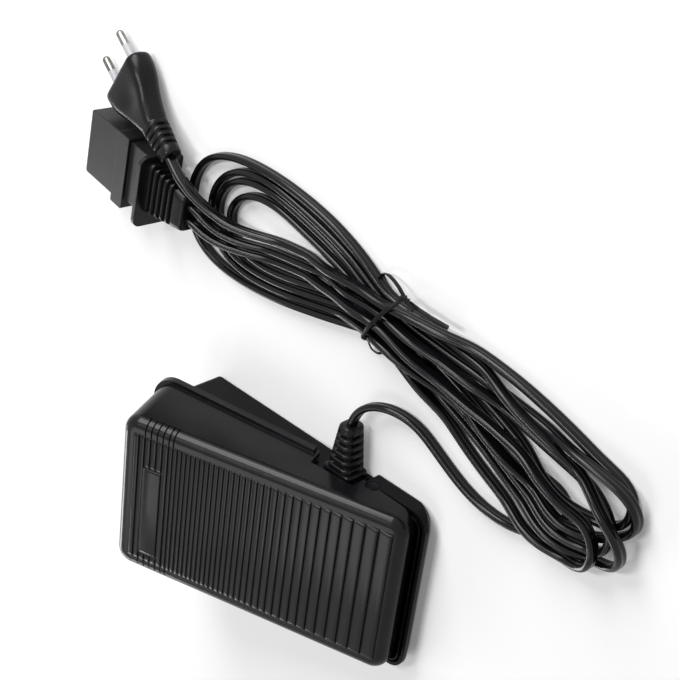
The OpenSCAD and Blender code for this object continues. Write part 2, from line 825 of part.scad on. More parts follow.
module clamp_screws() {
    top = relief_z + cord_w / 2 + clamp_size[2];
    shank = top - floor_z - 1;
    color(steel_colour) on_hinge() for (side = [-1, 1])
        translate([relief_x + side * clamp_pitch / 2, clamp_y, top]) pan_screw(shank);
}

// Slab along +Z between two half widths, as wide as needed across
module taper_slab(half_base, half_tip, length, wide) {
    rotate([90, 0, 0]) translate([0, 0, -wide]) linear_extrude(2 * wide)
        polygon([[-half_base, 0], [half_base, 0], [half_tip, length], [-half_tip, length]]);
}

// Tapered boot along +Z with bevelled corners and slots in all four faces
module ribbed_boot(length, base, tip, slots, width, depth) {
    bevel_base = 2.4;
    bevel_tip = 1.8;
    web = 0.3;
    wide = base[0] + base[1];
    diagonal_base = (wide / 2 - bevel_base) / sqrt(2);
    diagonal_tip = ((tip[0] + tip[1]) / 2 - bevel_tip) / sqrt(2);
    first = length * 0.14;
    pitch = length * 0.68 / (slots - 1);
    difference() {
        intersection() {
            taper_slab(base[0] / 2, tip[0] / 2, length, wide);
            rotate([0, 0, 90]) taper_slab(base[1] / 2, tip[1] / 2, length, wide);
            rotate([0, 0, 45]) taper_slab(diagonal_base, diagonal_tip, length, wide);
            rotate([0, 0, -45]) taper_slab(diagonal_base, diagonal_tip, length, wide);
        }
        for (i = [0:slots - 1]) let (
                z = first + pitch * i,
                half = (base + (tip - base) * z / length) / 2,
                reach = half - [1, 1] * (depth + web)
            ) for (side = [-1, 1]) {
            translate([side * half[0] - depth, -reach[1], z]) cube([2 * depth, 2 * reach[1], width]);
            translate([-reach[0], side * half[1] - depth, z]) cube([2 * reach[0], 2 * depth, width]);
        }
    }
}

module strain_relief() {
    color(rubber_colour) on_hinge() translate([relief_x, 0, relief_z]) {
        translate([-inner_flange[0] / 2, tail_y, -inner_flange[2] / 2]) cube(inner_flange);
        translate([-neck[0] / 2, inner_y - 0.05, -neck[2] / 2]) cube([neck[0], collar_y - inner_y + 0.1, neck[2]]);
        translate([-collar[0] / 2, collar_y, -collar[2] / 2]) cube(collar);
        translate([0, boot_y, 0]) rotate([-90, 0, 0])
            ribbed_boot(boot_len, boot_base, boot_tip, boot_slots, slot_w, slot_d);
    }
}

module pedal_lead() {
    color(cord_colour) translate(cord_at) flat_cord(pedal_route, cord_w, cord_t);
}

module tie_band() {
    translate([hank_waist[0], hank_waist[1], 0]) rotate([90, 0, 90 + hank_turn])
        translate([0, 0, -tie_len / 2]) linear_extrude(tie_len) difference() {
            translate([-hank_waist_r - 2, -cut]) square([2 * hank_waist_r + 4, hank_h + 2 * cut]);
            translate([-hank_waist_r + tie_t, tie_t]) square([2 * (hank_waist_r - tie_t), hank_h - 2 * tie_t]);
        }
}

module hank_form() {
    waist = hank_waist_r * [-sin(hank_turn), cos(hank_turn)];
    linear_extrude(hank_h) polygon(concat(
        lobe(hank_right, hank_right_r), [hank_waist + waist], lobe(hank_left, hank_left_r), [hank_waist - waist]
    ));
}

module cord_hank() {
    room = 1.5;
    boot_x = conn_len + conn_neck[0] + conn_collar[0];
    color(cord_colour) difference() {
        translate(cord_at) difference() {
            hank_form();
            tie_band();
        }
        on_connector() translate([conn_len, -conn_boot_base[0] / 2 - room, -conn_boot_base[1] / 2 - slack])
            cube([boot_x - conn_len + conn_boot_len + room, conn_boot_base[0] + 2 * room, 2 * hank_h]);
    }
}

module twist_tie() {
    color("#101010") translate(cord_at) intersection() {
        hank_form();
        tie_band();
    }
}

module on_connector() {
    translate(cord_at + [conn_at[0], conn_at[1], conn_t / 2]) rotate([0, -conn_lean, conn_turn]) children();
}

// Places of the connector's contacts, in a row across its front
contact_y = [for (i = [-1:1]) i * contact_pitch];

module connector_body() {
    edge = 1.5;
    neck_x = conn_len;
    collar_x = conn_len + conn_neck[0];
    color(rubber_colour) on_connector() difference() {
        union() {
            translate([0, 0, -conn_t / 2]) linear_extrude(conn_t)
                polygon(round_box(0, conn_len - conn_grip + cut, conn_w / 2, edge, 0.8));
            translate([conn_len - conn_grip, (conn_step - conn_key) / 2, -conn_t / 2 - conn_step])
                linear_extrude(conn_t + 2 * conn_step)
                    polygon(round_box(0, conn_grip, (conn_w + conn_step + conn_key) / 2, 0.8, 0.8));
            translate([neck_x - cut, -conn_neck[1] / 2, -conn_neck[2] / 2])
                cube([conn_neck[0] + 2 * cut, conn_neck[1], conn_neck[2]]);
            translate([collar_x, collar_shift, 0]) rotate([90, 0, 90]) linear_extrude(conn_collar[0])
                polygon(round_box(-conn_collar[1] / 2, conn_collar[1] / 2, conn_collar[2] / 2, 4, 4));
        }
        for (y = contact_y) translate([-cut, y, 0]) rotate([0, 90, 0])
            cylinder(h = contact_len + contact_inset + cut, r = contact_r);
    }
}

module connector_boot() {
    color(rubber_colour) on_connector() translate([conn_len + conn_neck[0] + conn_collar[0], 0, 0])
        rotate([90, 0, 90])
            ribbed_boot(conn_boot_len, conn_boot_base, conn_boot_tip, conn_boot_slots, slot_w, slot_d);
}

module connector_contacts() {
    color(brass_colour) on_connector() for (y = contact_y) translate([contact_inset, y, 0]) rotate([0, 90, 0])
        difference() {
            cylinder(h = contact_len, r = contact_r);
            translate([0, 0, -cut]) cylinder(h = contact_len - 2 + cut, r = contact_bore_r);
        }
}

module connector_lead_a() {
    color(cord_colour) translate(cord_at) flat_cord(lead_a_route, cord_w, cord_t);
}

module connector_lead_b() {
    color(cord_colour) translate(cord_at) flat_cord(lead_b_route, cord_w, cord_t);
}

// The plug's own frame: +X out of its front face
module on_plug() {
    translate(cord_at + [plug_at[0], plug_at[1], plug_z]) rotate([0, plug_lean, plug_turn]) children();
}

module plug_body() {
    waist_x = -10;
    color(rubber_colour) on_plug() difference() {
        union() {
            intersection() {
                translate([0, 0, -plug_t / 2]) linear_extrude(plug_t) polygon([
                    [0, -plug_w / 2 + 2], [0, plug_w / 2 - 2], [-2, plug_w / 2], [waist_x, plug_w / 2],
                    [-plug_len, plug_neck_w / 2], [-plug_len, -plug_neck_w / 2], [waist_x, -plug_w / 2], [-2, -plug_w / 2]
                ]);
                across_y(plug_w) polygon([
                    [0, -plug_t / 2 + 1], [0, plug_t / 2 - 1], [-1, plug_t / 2], [waist_x - 4, plug_t / 2],
                    [-plug_len, plug_t / 2 - 1.6], [-plug_len, 1.6 - plug_t / 2], [waist_x - 4, -plug_t / 2],
                    [-1, -plug_t / 2]
                ]);
            }
            translate([-plug_len, 0, 0]) rotate([90, 0, -90])
                ribbed_boot(plug_boot_len, plug_boot_base, plug_boot_tip, plug_boot_slots, slot_w, slot_d - 0.3);
        }
        for (side = [-1, 1]) translate([-plug_root, side * plug_pitch / 2, 0]) rotate([0, 90, 0])
            cylinder(h = plug_root + cut, r = plug_root_r);
    }
}

module plug_pins() {
    color(steel_colour) on_plug() for (side = [-1, 1])
        translate([-plug_root, side * plug_pitch / 2, 0]) rotate([0, 90, 0]) rotate_extrude() polygon(concat(
            [[0, 0], [plug_root_r, 0], [plug_root_r, plug_root], [plug_pin_r - sleeve_t, plug_root],
            [plug_pin_r - sleeve_t, plug_root + sleeve_len], [plug_pin_r, plug_root + sleeve_len]],
            arc([0, plug_root + plug_pin_len - plug_pin_r], plug_pin_r, 0, 90, 8)
        ));
}

module plug_pin_sleeves() {
    color("#d9d7d0") on_plug() for (side = [-1, 1])
        translate([0, side * plug_pitch / 2, 0]) rotate([0, 90, 0]) difference() {
            cylinder(h = sleeve_len, r = plug_pin_r);
            translate([0, 0, -cut]) cylinder(h = sleeve_len + 2 * cut, r = plug_pin_r - sleeve_t);
        }
}

module plug_lead() {
    color(cord_colour) translate(cord_at) flat_cord(plug_route, cord_w, cord_t);
}

pedal_cover();
base_shell();
hinge_pins();
rubber_feet();
return_springs();
bump_stops();
circuit_board();
board_screws();
speed_control_body();
speed_control_slider();
triac();
heat_sink();
suppression_capacitor();
choke_core();
choke_winding();
resistors();
terminal_block();
terminal_screws();
lead_wires();
cord_tail();
cord_clamp();
clamp_screws();
strain_relief();
pedal_lead();
cord_hank();
twist_tie();
connector_body();
connector_boot();
connector_contacts();
connector_lead_a();
connector_lead_b();
plug_body();
plug_pins();
plug_pin_sleeves();
plug_lead();
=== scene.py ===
"""Looks of a sewing machine foot pedal: materials, flat cords, tie, moulded ends, ribs, light and view."""
import math

import bmesh
import bpy
import numpy as np
from mathutils import Matrix, Vector


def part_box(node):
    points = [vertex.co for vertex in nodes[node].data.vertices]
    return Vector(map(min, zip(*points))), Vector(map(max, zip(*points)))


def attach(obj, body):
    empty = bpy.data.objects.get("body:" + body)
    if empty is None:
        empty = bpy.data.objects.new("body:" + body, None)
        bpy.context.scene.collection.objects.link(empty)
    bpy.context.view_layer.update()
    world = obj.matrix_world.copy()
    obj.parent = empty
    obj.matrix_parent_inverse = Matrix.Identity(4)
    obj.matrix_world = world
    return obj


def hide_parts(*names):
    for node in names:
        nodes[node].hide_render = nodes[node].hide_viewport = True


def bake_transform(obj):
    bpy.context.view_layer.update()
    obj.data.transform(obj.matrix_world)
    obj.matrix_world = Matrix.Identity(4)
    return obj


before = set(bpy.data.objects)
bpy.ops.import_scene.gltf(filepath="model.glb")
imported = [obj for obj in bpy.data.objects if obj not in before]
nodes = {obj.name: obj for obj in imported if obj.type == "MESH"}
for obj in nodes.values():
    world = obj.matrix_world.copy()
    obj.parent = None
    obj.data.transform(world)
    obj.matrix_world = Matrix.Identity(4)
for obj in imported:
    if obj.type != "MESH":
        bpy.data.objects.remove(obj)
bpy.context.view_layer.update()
scene = bpy.context.scene

MM = 0.001
SHARP = math.radians(42)

# View, as fitted to the photograph: place and axes of the camera, and its focal length in pixels
VIEW_FROM = Vector((0.3774, 0.4110, 0.4245))
VIEW_BACK = Vector((0.57299, 0.48840, 0.65814))
VIEW_UP = Vector((-0.41938, 0.86466, -0.27654))
FOCAL_PIXELS = 1450
IMAGE_PIXELS = 680
SENSOR = 36

# Materials: noise scales per metre, the part of each noise that is used, and what it does to the gloss
BROAD_SCALE = 70
SMEAR_SCALE = 28
SCUFF_SCALE = 420
NOISE_SPAN = (0.3, 0.7)
SCUFF_SPAN = (0.42, 0.62)
EDGE_SPAN = (0.985, 0.82)
EDGE_SAMPLES = 4
SMEAR_GLOSS = (0.86, 1.16)
GRAIN_GLOSS = 0.03
WORN_GLOSS = 0.12

# Colour sockets of a mix node
MIX_A = 6
MIX_B = 7
MIX_RESULT = 2


class Finish:
    """A procedural material: colour variation, roughness, grain, and wear on edges."""

    def __init__(self, name):
        self.material = bpy.data.materials.new(name)
        self.material.use_nodes = True
        self.tree = self.material.node_tree
        self.shader = self.tree.nodes["Principled BSDF"]
        self.spot = self.tree.nodes.new("ShaderNodeTexCoord").outputs["Object"]

    def node(self, kind, inputs, **settings):
        """A node with its settings; an input is a value or the output it is wired to."""
        made = self.tree.nodes.new(kind)
        for key, value in settings.items():
            setattr(made, key, value)
        for key, value in inputs.items():
            self.feed(made.inputs[key], value)
        return made

    def feed(self, socket, value):
        """Wire or set one input."""
        if isinstance(value, bpy.types.NodeSocket):
            self.tree.links.new(value, socket)
        else:
            socket.default_value = value

    def noise(self, scale, detail=3, roughness=0.55, distortion=0.0, spot=None):
        """Noise of a scale per metre."""
        return self.node("ShaderNodeTexNoise", {
            "Vector": spot or self.spot,
            "Scale": scale,
            "Detail": detail,
            "Roughness": roughness,
            "Distortion": distortion,
        }).outputs["Fac"]

    def span(self, value, low, high, to_low, to_high):
        """A value's range put onto another range."""
        return self.node("ShaderNodeMapRange", {
            "Value": value,
            "From Min": low,
            "From Max": high,
            "To Min": to_low,
            "To Max": to_high,
        }).outputs["Result"]

    def math(self, operation, a, b):
        """One sum of two values."""
        return self.node("ShaderNodeMath", {0: a, 1: b}, operation=operation).outputs[0]

    def mix(self, factor, a, b):
        """Two colours mixed."""
        made = self.node("ShaderNodeMix", {"Factor": factor}, data_type="RGBA")
        self.feed(made.inputs[MIX_A], a)
        self.feed(made.inputs[MIX_B], b)
        return made.outputs[MIX_RESULT]

    def stretched(self, scale):
        """The place on the part, drawn out along some axes."""
        return self.node("ShaderNodeMapping", {"Vector": self.spot, "Scale": scale}).outputs["Vector"]

    def along(self, scale):
        """The place along and round a swept piece."""
        uv = self.node("ShaderNodeUVMap", {}, uv_map="along").outputs["UV"]
        return self.node("ShaderNodeMapping", {"Vector": uv, "Scale": scale}).outputs["Vector"]


def tone(colour, factor):
    """A colour made lighter or darker, with its alpha."""
    return tuple(min(1, c * factor) for c in colour) + (1,)


def moulded(name, colour, rough, specular=0.5, metal=0.0, mottle=0.25, grain=0.5, depth=0.03, soft=0.4,
            wear=0.5, wear_colour=(0.09, 0.09, 0.09), streaks=None, swept=None):
    """A moulded, drawn or turned surface; its grain, bump depth and edge radius are in millimetres.

    Streaks draws the grain out along an axis of the part, swept along the length of a swept piece.
    """
    f = Finish(name)
    grain_spot = f.spot
    if streaks:
        grain_spot = f.stretched(streaks)
    if swept:
        grain_spot = f.along(swept)
    broad = f.noise(BROAD_SCALE, detail=4)
    smear = f.noise(SMEAR_SCALE, detail=6, roughness=0.6, distortion=0.5)
    fine = f.noise(1 / (grain * MM), roughness=0.6, spot=grain_spot)
    edge = f.node("ShaderNodeBevel", {"Radius": soft * MM}, samples=EDGE_SAMPLES).outputs["Normal"]
    facing = f.node("ShaderNodeNewGeometry", {}).outputs["Normal"]
    turned = f.node("ShaderNodeVectorMath", {0: edge, 1: facing}, operation="DOT_PRODUCT").outputs["Value"]
    scuffs = f.span(f.noise(SCUFF_SCALE, detail=4), *SCUFF_SPAN, 0, wear)
    rubbed = f.math("MULTIPLY", f.span(turned, *EDGE_SPAN, 0, 1), scuffs)
    body = f.mix(f.span(broad, *NOISE_SPAN, 0, 1), tone(colour, 1 - mottle), tone(colour, 1 + mottle))
    f.feed(f.shader.inputs["Base Color"], f.mix(rubbed, body, tone(wear_colour, 1)))
    smeared = f.span(smear, *NOISE_SPAN, rough * SMEAR_GLOSS[0], rough * SMEAR_GLOSS[1])
    gloss = f.math("ADD", smeared, f.span(fine, *NOISE_SPAN, -GRAIN_GLOSS, GRAIN_GLOSS))
    f.feed(f.shader.inputs["Roughness"], f.math("ADD", gloss, f.math("MULTIPLY", rubbed, WORN_GLOSS)))
    bump = f.node("ShaderNodeBump", {
        "Strength": 1.0,
        "Distance": depth * MM,
        "Height": fine,
        "Normal": edge,
    })
    f.feed(f.shader.inputs["Normal"], bump.outputs["Normal"])
    f.shader.inputs["Specular IOR Level"].default_value = specular
    f.shader.inputs["Metallic"].default_value = metal
    return f.material


LOOKS = {
    "cover_plastic": dict(
        colour=(0.006, 0.006, 0.007), rough=0.2, specular=0.18, depth=0.006, soft=0.15, wear=0.1,
    ),
    "base_plastic": dict(
        colour=(0.004, 0.004, 0.005), rough=0.24, specular=0.055, depth=0.007, soft=0.3, wear=0.25,
    ),
    "boot_rubber": dict(
        colour=(0.005, 0.005, 0.006), rough=0.26, specular=0.16, grain=0.4, depth=0.007, soft=0.2, wear=0.3,
    ),
    "connector_plastic": dict(
        colour=(0.011, 0.011, 0.012), rough=0.34, specular=0.22, grain=0.6, depth=0.012, soft=0.8, wear=0.2,
    ),
    "cord_sheath": dict(
        colour=(0.004, 0.004, 0.005), rough=0.15, specular=0.22, grain=1.6, depth=0.008, soft=0.1,
        swept=(1, 40, 1),
    ),
    "tie_plastic": dict(
        colour=(0.004, 0.004, 0.005), rough=0.3, specular=0.12, grain=1.2, soft=0.1, swept=(1, 20, 1),
    ),
    "foot_rubber": dict(
        colour=(0.022, 0.022, 0.022), rough=0.72, specular=0.3, grain=0.3, depth=0.06,
    ),
    "slider_plastic": dict(
        colour=(0.55, 0.53, 0.47), rough=0.42, wear_colour=(0.7, 0.68, 0.62),
    ),
    "sleeve_plastic": dict(
        colour=(0.4, 0.4, 0.42), rough=0.4, mottle=0.08, grain=0.4, wear_colour=(0.5, 0.5, 0.5),
    ),
    "component_dark": dict(
        colour=(0.02, 0.02, 0.022), rough=0.5, grain=0.3, depth=0.04,
    ),
    "capacitor": dict(
        colour=(0.35, 0.22, 0.03), rough=0.35, mottle=0.12, wear_colour=(0.5, 0.36, 0.1),
    ),
    "resistor": dict(
        colour=(0.34, 0.24, 0.13), rough=0.5, mottle=0.3, wear_colour=(0.45, 0.35, 0.22),
    ),
    "terminal_green": dict(
        colour=(0.02, 0.2, 0.06), rough=0.4, wear_colour=(0.1, 0.32, 0.16),
    ),
    "wire_brown": dict(
        colour=(0.11, 0.042, 0.018), rough=0.38, wear_colour=(0.2, 0.1, 0.05),
    ),
    "board": dict(
        colour=(0.16, 0.1, 0.03), rough=0.5, mottle=0.18, grain=0.9, streaks=(1, 7, 1),
        wear_colour=(0.3, 0.22, 0.1),
    ),
    "spring_steel": dict(
        colour=(0.5, 0.5, 0.51), rough=0.3, metal=1, mottle=0.12, grain=0.7, wear_colour=(0.62, 0.62, 0.63),
    ),
    "screw_steel": dict(
        colour=(0.56, 0.56, 0.55), rough=0.32, metal=1, mottle=0.12, grain=0.4, streaks=(1, 1, 5),
        wear_colour=(0.68, 0.68, 0.68),
    ),
    "heat_sink": dict(
        colour=(0.62, 0.63, 0.64), rough=0.36, metal=1, mottle=0.08, grain=0.8, streaks=(1, 9, 1),
        wear_colour=(0.75, 0.75, 0.76),
    ),
    "copper_wire": dict(
        colour=(0.64, 0.29, 0.15), rough=0.28, metal=1, mottle=0.2, grain=0.5,
        wear_colour=(0.78, 0.42, 0.26),
    ),
    "contact_brass": dict(
        colour=(0.62, 0.47, 0.2), rough=0.3, metal=1, mottle=0.15, grain=0.4, wear_colour=(0.74, 0.6, 0.34),
    ),
    "pin_nickel": dict(
        colour=(0.19, 0.185, 0.175), rough=0.2, metal=1, mottle=0.5, grain=0.6, streaks=(1, 1, 4),
        wear_colour=(0.45, 0.44, 0.42),
    ),
}
FINISHES = {name: moulded(name, **look) for name, look in LOOKS.items()}
for node in nodes.values():
    for held in node.material_slots:
        held.material = FINISHES[held.material.name.split(".")[0]]
nodes["connector_body"].material_slots[0].material = FINISHES["connector_plastic"]


def dress(piece, slot):
    """A piece gets its slot and that slot's material."""
    piece.data.materials.append(FINISHES[slot])


# Flat twin cord, in millimetres
CORD_W = 5.8
CORD_T = 3.4
CORD_GAP = 0.05
CORD_ARC_STEPS = 8
GROOVE_DEPTH = 0.22
GROOVE_HEIGHTS = (0.6, 0.3, 0)
CORE_UP = (CORD_W - CORD_T) / 2
FLOOR = CORD_W / 2 + CORD_GAP

# How the cords lie: sample and ring steps, steepest slope, and how plan and heights are softened
STEP = 2.0
PLAN_STEP = STEP / 4
RING_STEP = 1.0
SLOPE = 0.4
OWN_REACH = 3 * CORD_W / STEP
PLAN_SOFT = 10
SETTLE_ROUNDS = 400
SETTLE_DONE = 1e-3
SETTLE_HOLD = 2
SETTLE_SOFT = 2.5
FOLD_POINTS = 7
CURVE_POINTS = 40
LEAST_GAP = 1e-6

# Lanes of the cords' passes through the tie, over its wire
TIE_X = 37.0
TIE_WIRE = 0.55
LANE_0 = 113.0
LANE_PITCH = 3.7


def lane(number, layer):
    """Where a pass of the cord goes through the tie, over the tie's wire."""
    return (TIE_X, LANE_0 + LANE_PITCH * number, layer, FLOOR + 2 * TIE_WIRE)


def fold(centre, radius, start, end, layer, layer_end=None):
    """Round end of a fold: points on an arc, with the layer changing along it."""
    layer_end = layer if layer_end is None else layer_end
    points = []
    for i in range(FOLD_POINTS):
        t = i / (FOLD_POINTS - 1)
        angle = math.radians(start + (end - start) * t)
        points.append((
            centre[0] + radius * math.cos(angle),
            centre[1] + radius * math.sin(angle),
            layer + (layer_end - layer) * t,
        ))
    return points


def at(points, layer):
    """The same points, all on one layer."""
    return [(x, y, layer) for x, y in points]


def back(points):
    """The same points the other way round."""
    return points[::-1]


# Routes in plan: x, y, layer, and the height of the cord's middle where something holds it up
PEDAL_LEAD = [
    (28.8, 65.4, 0, 8.5), (29.5, 71, 0, 8.3), (33, 76.5, 0, 7), (40, 80.7, 0, 5.5), (49, 82, 0, 4),
    (60.5, 80.5, 0), (74, 73.5, 0), (87.5, 66.3, 0), (98, 62.5, 0), (107.5, 61, 0), (117.5, 61.3, 0),
    (127, 64, 0), (135.5, 68.5, 0),
]
LEFT_LOOP_1 = [
    (18, 141.5), (-6, 151), (-42, 157.3), (-69, 156), (-84.5, 149), (-92, 137.5), (-93.3, 124.5),
    (-89, 111), (-77, 102.8), (-60, 99.5), (-34, 100), (-1, 105.3), (20, 109.7),
]
LEFT_LOOP_2 = [
    (12, 139.3), (-16, 148.3), (-44, 153.6), (-62, 151.6), (-74, 143), (-79, 131), (-76.5, 118),
    (-69, 109.5), (-55, 104.3), (-34, 104.3), (-1, 109.3), (20, 113.5),
]
LEFT_LOOP_3 = [
    (10, 136.2), (-15, 144.4), (-42, 149.8), (-59, 148.1), (-70.3, 141), (-75, 130), (-72.6, 118.3),
    (-64, 110.8), (-48, 107.8), (-30, 108.4), (-1, 113.3), (20, 117.3),
]
LEFT_LOOP_4 = [
    (10, 130.8), (-15, 138.6), (-39, 144.4), (-53, 143.2), (-62.5, 137.2), (-66.3, 128.6), (-63.8, 120.2),
    (-56, 114.8), (-42, 112.3), (-27, 113.3), (0, 118), (20, 121.2),
]
ROUTE_A = (
    PEDAL_LEAD
    + fold((130.5, 79.3), 11.9, -45, 105, 0)
    + at([(112, 94), (92, 103.3), (65, 114.2)], 0)
    + [lane(2, 1)]
    + at(LEFT_LOOP_4, 2.5)
    + [lane(1.5, 6), (65, 110.4, 3.5)]
    + at([(92, 99.5), (115, 89.5), (133, 82.5), (147, 79.8), (158, 80.8)], 2)
    + fold((160.5, 97.5), 12.5, -50, 95, 2)
    + at([(144, 112.6), (128, 112.8), (114, 115), (92, 118.2), (65, 121.8)], 2)
    + [lane(4, 1)]
    + at(LEFT_LOOP_2, 2)
    + [lane(0.5, 6), (65, 106.6, 4)]
    + at([(92, 95.5), (115, 83.5), (135, 76)], 3)
    + fold((154, 86), 11.8, -100, 70, 3)
    + at([(144, 101), (120, 106.8), (92, 114.3)], 3)
    + [(65, 120, 5), lane(3.5, 6)]
    + at([(25, 126), (0, 125.3), (-33, 122.3), (-54, 121)], 6)
    + [(-64, 122.7, 6, 11.5), (-71, 126, 6, 13.5), (-77, 128.7, 6, 14.8), (-83, 129.7, 6, 14.7)]
)
ROUTE_B = (
    [(-83.8, 122.6, 5.5, 14.7), (-78, 121.7, 5.5, 14.8), (-71.5, 118.8, 5.5, 13.2), (-64, 116.9, 5.5, 11)]
    + at([(-54, 116.6), (-33, 118), (0, 121.3), (25, 122.3)], 5.5)
    + [lane(2.5, 6)]
    + at([(62, 113.5), (80, 108), (105, 103), (121, 99.8), (132, 95.5), (142, 91)], 6)
    + fold((149.5, 76.5), 11.8, 72, -98, 6)
    + at([(135, 65.8), (120, 69), (106, 74.5), (88, 84), (65, 99)], 6)
    + [lane(0, 1)]
    + at(back(LEFT_LOOP_1), 1)
    + [lane(5, 1), (54, 130, 1)]
    + at([(71, 126.3), (97, 121.5), (116, 115.5), (138, 108), (153.5, 101)], 5)
    + fold((159.5, 82.3), 12.6, 58, -98, 5, 2.8)
    + at([(142, 70.3), (120, 76), (95, 89.5)], 2.8)
    + [(65, 102.8, 1.5), lane(1, 1)]
    + at(back(LEFT_LOOP_3), 1.5)
    + [lane(3, 1)]
    + at([(65, 118), (92, 110.5), (115, 100.5), (135, 91.3), (148, 87.3)], 1)
    + fold((157, 98.5), 11.8, -95, 60, 1)
    + at([(151, 112), (133, 118.3), (107, 125.3)], 1)
    + [(72, 130, 5.5), (48, 130.8, 6), lane(4.6, 7)]
    + at([(26, 131.5), (1, 130.5), (-32, 128.3), (-52, 128)], 9)
    + [(-60, 129.4, 9, 12.5), (-69.5, 132.3, 9, 14), (-77, 136.1, 9, 16), (-83.5, 139.2, 9, 17.5)]
    + [(-89, 142.6, 9, 16.5), (-93.6, 145.2, 9, 15), (-98.9, 147.7, 9, 13.7)]
)


def even(line, step, across=2):
    """The line again, in even steps of its length, which counts the first columns only."""
    run = np.concatenate([[0], np.cumsum(np.linalg.norm(np.diff(line[:, :across], axis=0), axis=1))])
    at_run = np.linspace(0, run[-1], max(2, round(run[-1] / step) + 1))
    return np.column_stack([np.interp(at_run, run, line[:, k]) for k in range(line.shape[1])])


def soften(values, sigma):
    """Gaussian smoothing along the line, with the ends mirrored so that they stay."""
    reach = int(3 * sigma)
    weight = np.exp(-0.5 * (np.arange(-reach, reach + 1) / sigma) ** 2)
    weight /= weight.sum()
    before = 2 * values[0] - values[reach:0:-1]
    after = 2 * values[-1] - values[-2:-reach - 2:-1]
    padded = np.vstack([before, values, after])
    return np.column_stack([np.convolve(padded[:, k], weight, "valid") for k in range(values.shape[1])])


def through(points):
    """Fine points along a centripetal Catmull-Rom curve; columns after the plan's two run straight."""
    p = np.array(points, float)
    ends = np.vstack([2 * p[0] - p[1], p, 2 * p[-1] - p[-2]])
    curve = []
    for a, b, c, d in zip(ends, ends[1:], ends[2:], ends[3:]):
        gaps = [max(np.linalg.norm((v - u)[:2]), LEAST_GAP) ** 0.5 for u, v in ((a, b), (b, c), (c, d))]
        t = np.cumsum([0] + gaps)
        s = np.linspace(t[1], t[2], CURVE_POINTS, endpoint=False)[:, None]
        ab = a + (b - a) * (s - t[0]) / (t[1] - t[0])
        bc = b + (c - b) * (s - t[1]) / (t[2] - t[1])
        cd = c + (d - c) * (s - t[2]) / (t[3] - t[2])
        abc = ab + (bc - ab) * (s - t[0]) / (t[2] - t[0])
        bcd = bc + (cd - bc) * (s - t[1]) / (t[3] - t[1])
        part = abc + (bcd - abc) * (s - t[1]) / (t[2] - t[1])
        part[:, 2:] = b[2:] + (c - b)[2:] * (s - t[1]) / (t[2] - t[1])
        curve.append(part)
    return np.vstack(curve + [p[-1:]])


def laid_out(route):
    """A route's even samples: x, y, layer and least height, which is the floor's where none is given."""
    line = even(through([p if len(p) == 4 else (*p, FLOOR) for p in route]), PLAN_STEP)
    line[:, :2] = soften(line[:, :2], PLAN_SOFT)
    return even(line, STEP)


def settle(lines):
    """Lay the cords down: each sample rests on the floor, or on what lies under it on a lower layer."""
    start = np.cumsum([0] + [len(line) for line in lines])
    plan = np.vstack([line[:, :2] for line in lines])
    layer = np.concatenate([line[:, 2] for line in lines])
    z = np.maximum(np.concatenate([line[:, 3] for line in lines]), FLOOR)
    cord = np.repeat(np.arange(len(lines)), np.diff(start))
    index = np.arange(len(plan))
    touch = CORD_T + CORD_GAP
    gap = np.linalg.norm(plan[:, None] - plan[None], axis=2)
    near = (gap < touch) & (layer[:, None] > layer[None])
    near &= (cord[:, None] != cord[None]) | (abs(index[:, None] - index[None]) > OWN_REACH)
    upper, lower = np.nonzero(near)
    lift = 2 * CORE_UP + np.sqrt(touch ** 2 - gap[upper, lower] ** 2)
    for _ in range(SETTLE_ROUNDS):
        before = z.copy()
        np.maximum.at(z, upper, z[lower] + lift)
        for a, b in zip(start, start[1:]):
            part = z[a:b]
            for i in range(1, len(part)):
                part[i] = max(part[i], part[i - 1] - SLOPE * STEP)
            for i in range(len(part) - 2, -1, -1):
                part[i] = max(part[i], part[i + 1] - SLOPE * STEP)
        if np.abs(z - before).max() < SETTLE_DONE:
            break
    settled = []
    for a, b in zip(start, start[1:]):
        wide = np.pad(z[a:b], SETTLE_HOLD, "edge")
        held = np.max([np.roll(wide, k) for k in range(-SETTLE_HOLD, SETTLE_HOLD + 1)], axis=0)
        height = np.maximum(soften(held[SETTLE_HOLD:-SETTLE_HOLD, None], SETTLE_SOFT), FLOOR)
        settled.append(np.column_stack([plan[a:b], height]))
    return settled


def cord_section():
    """Outline of the flat twin cord, as side and up: two round edges with a groove between the cores."""
    radius = CORD_T / 2
    half = []
    for i in range(CORD_ARC_STEPS + 1):
        angle = math.radians(90 - 90 * i / CORD_ARC_STEPS)
        half.append((radius * math.cos(angle), CORE_UP + radius * math.sin(angle)))
    for up in GROOVE_HEIGHTS:
        half.append((radius - GROOVE_DEPTH * (1 + math.cos(math.pi * up / CORE_UP)) / 2, up))
    right = half + [(side, -up) for side, up in half[-2::-1]]
    return right + [(-side, up) for side, up in right[-2:0:-1]]


def shown(name, mesh):
    """The mesh as an object in the scene, smooth except at its sharp edges."""
    mesh.polygons.foreach_set("use_smooth", [True] * len(mesh.polygons))
    mesh.set_sharp_from_angle(angle=SHARP)
    obj = bpy.data.objects.new(name, mesh)
    scene.collection.objects.link(obj)
    return obj


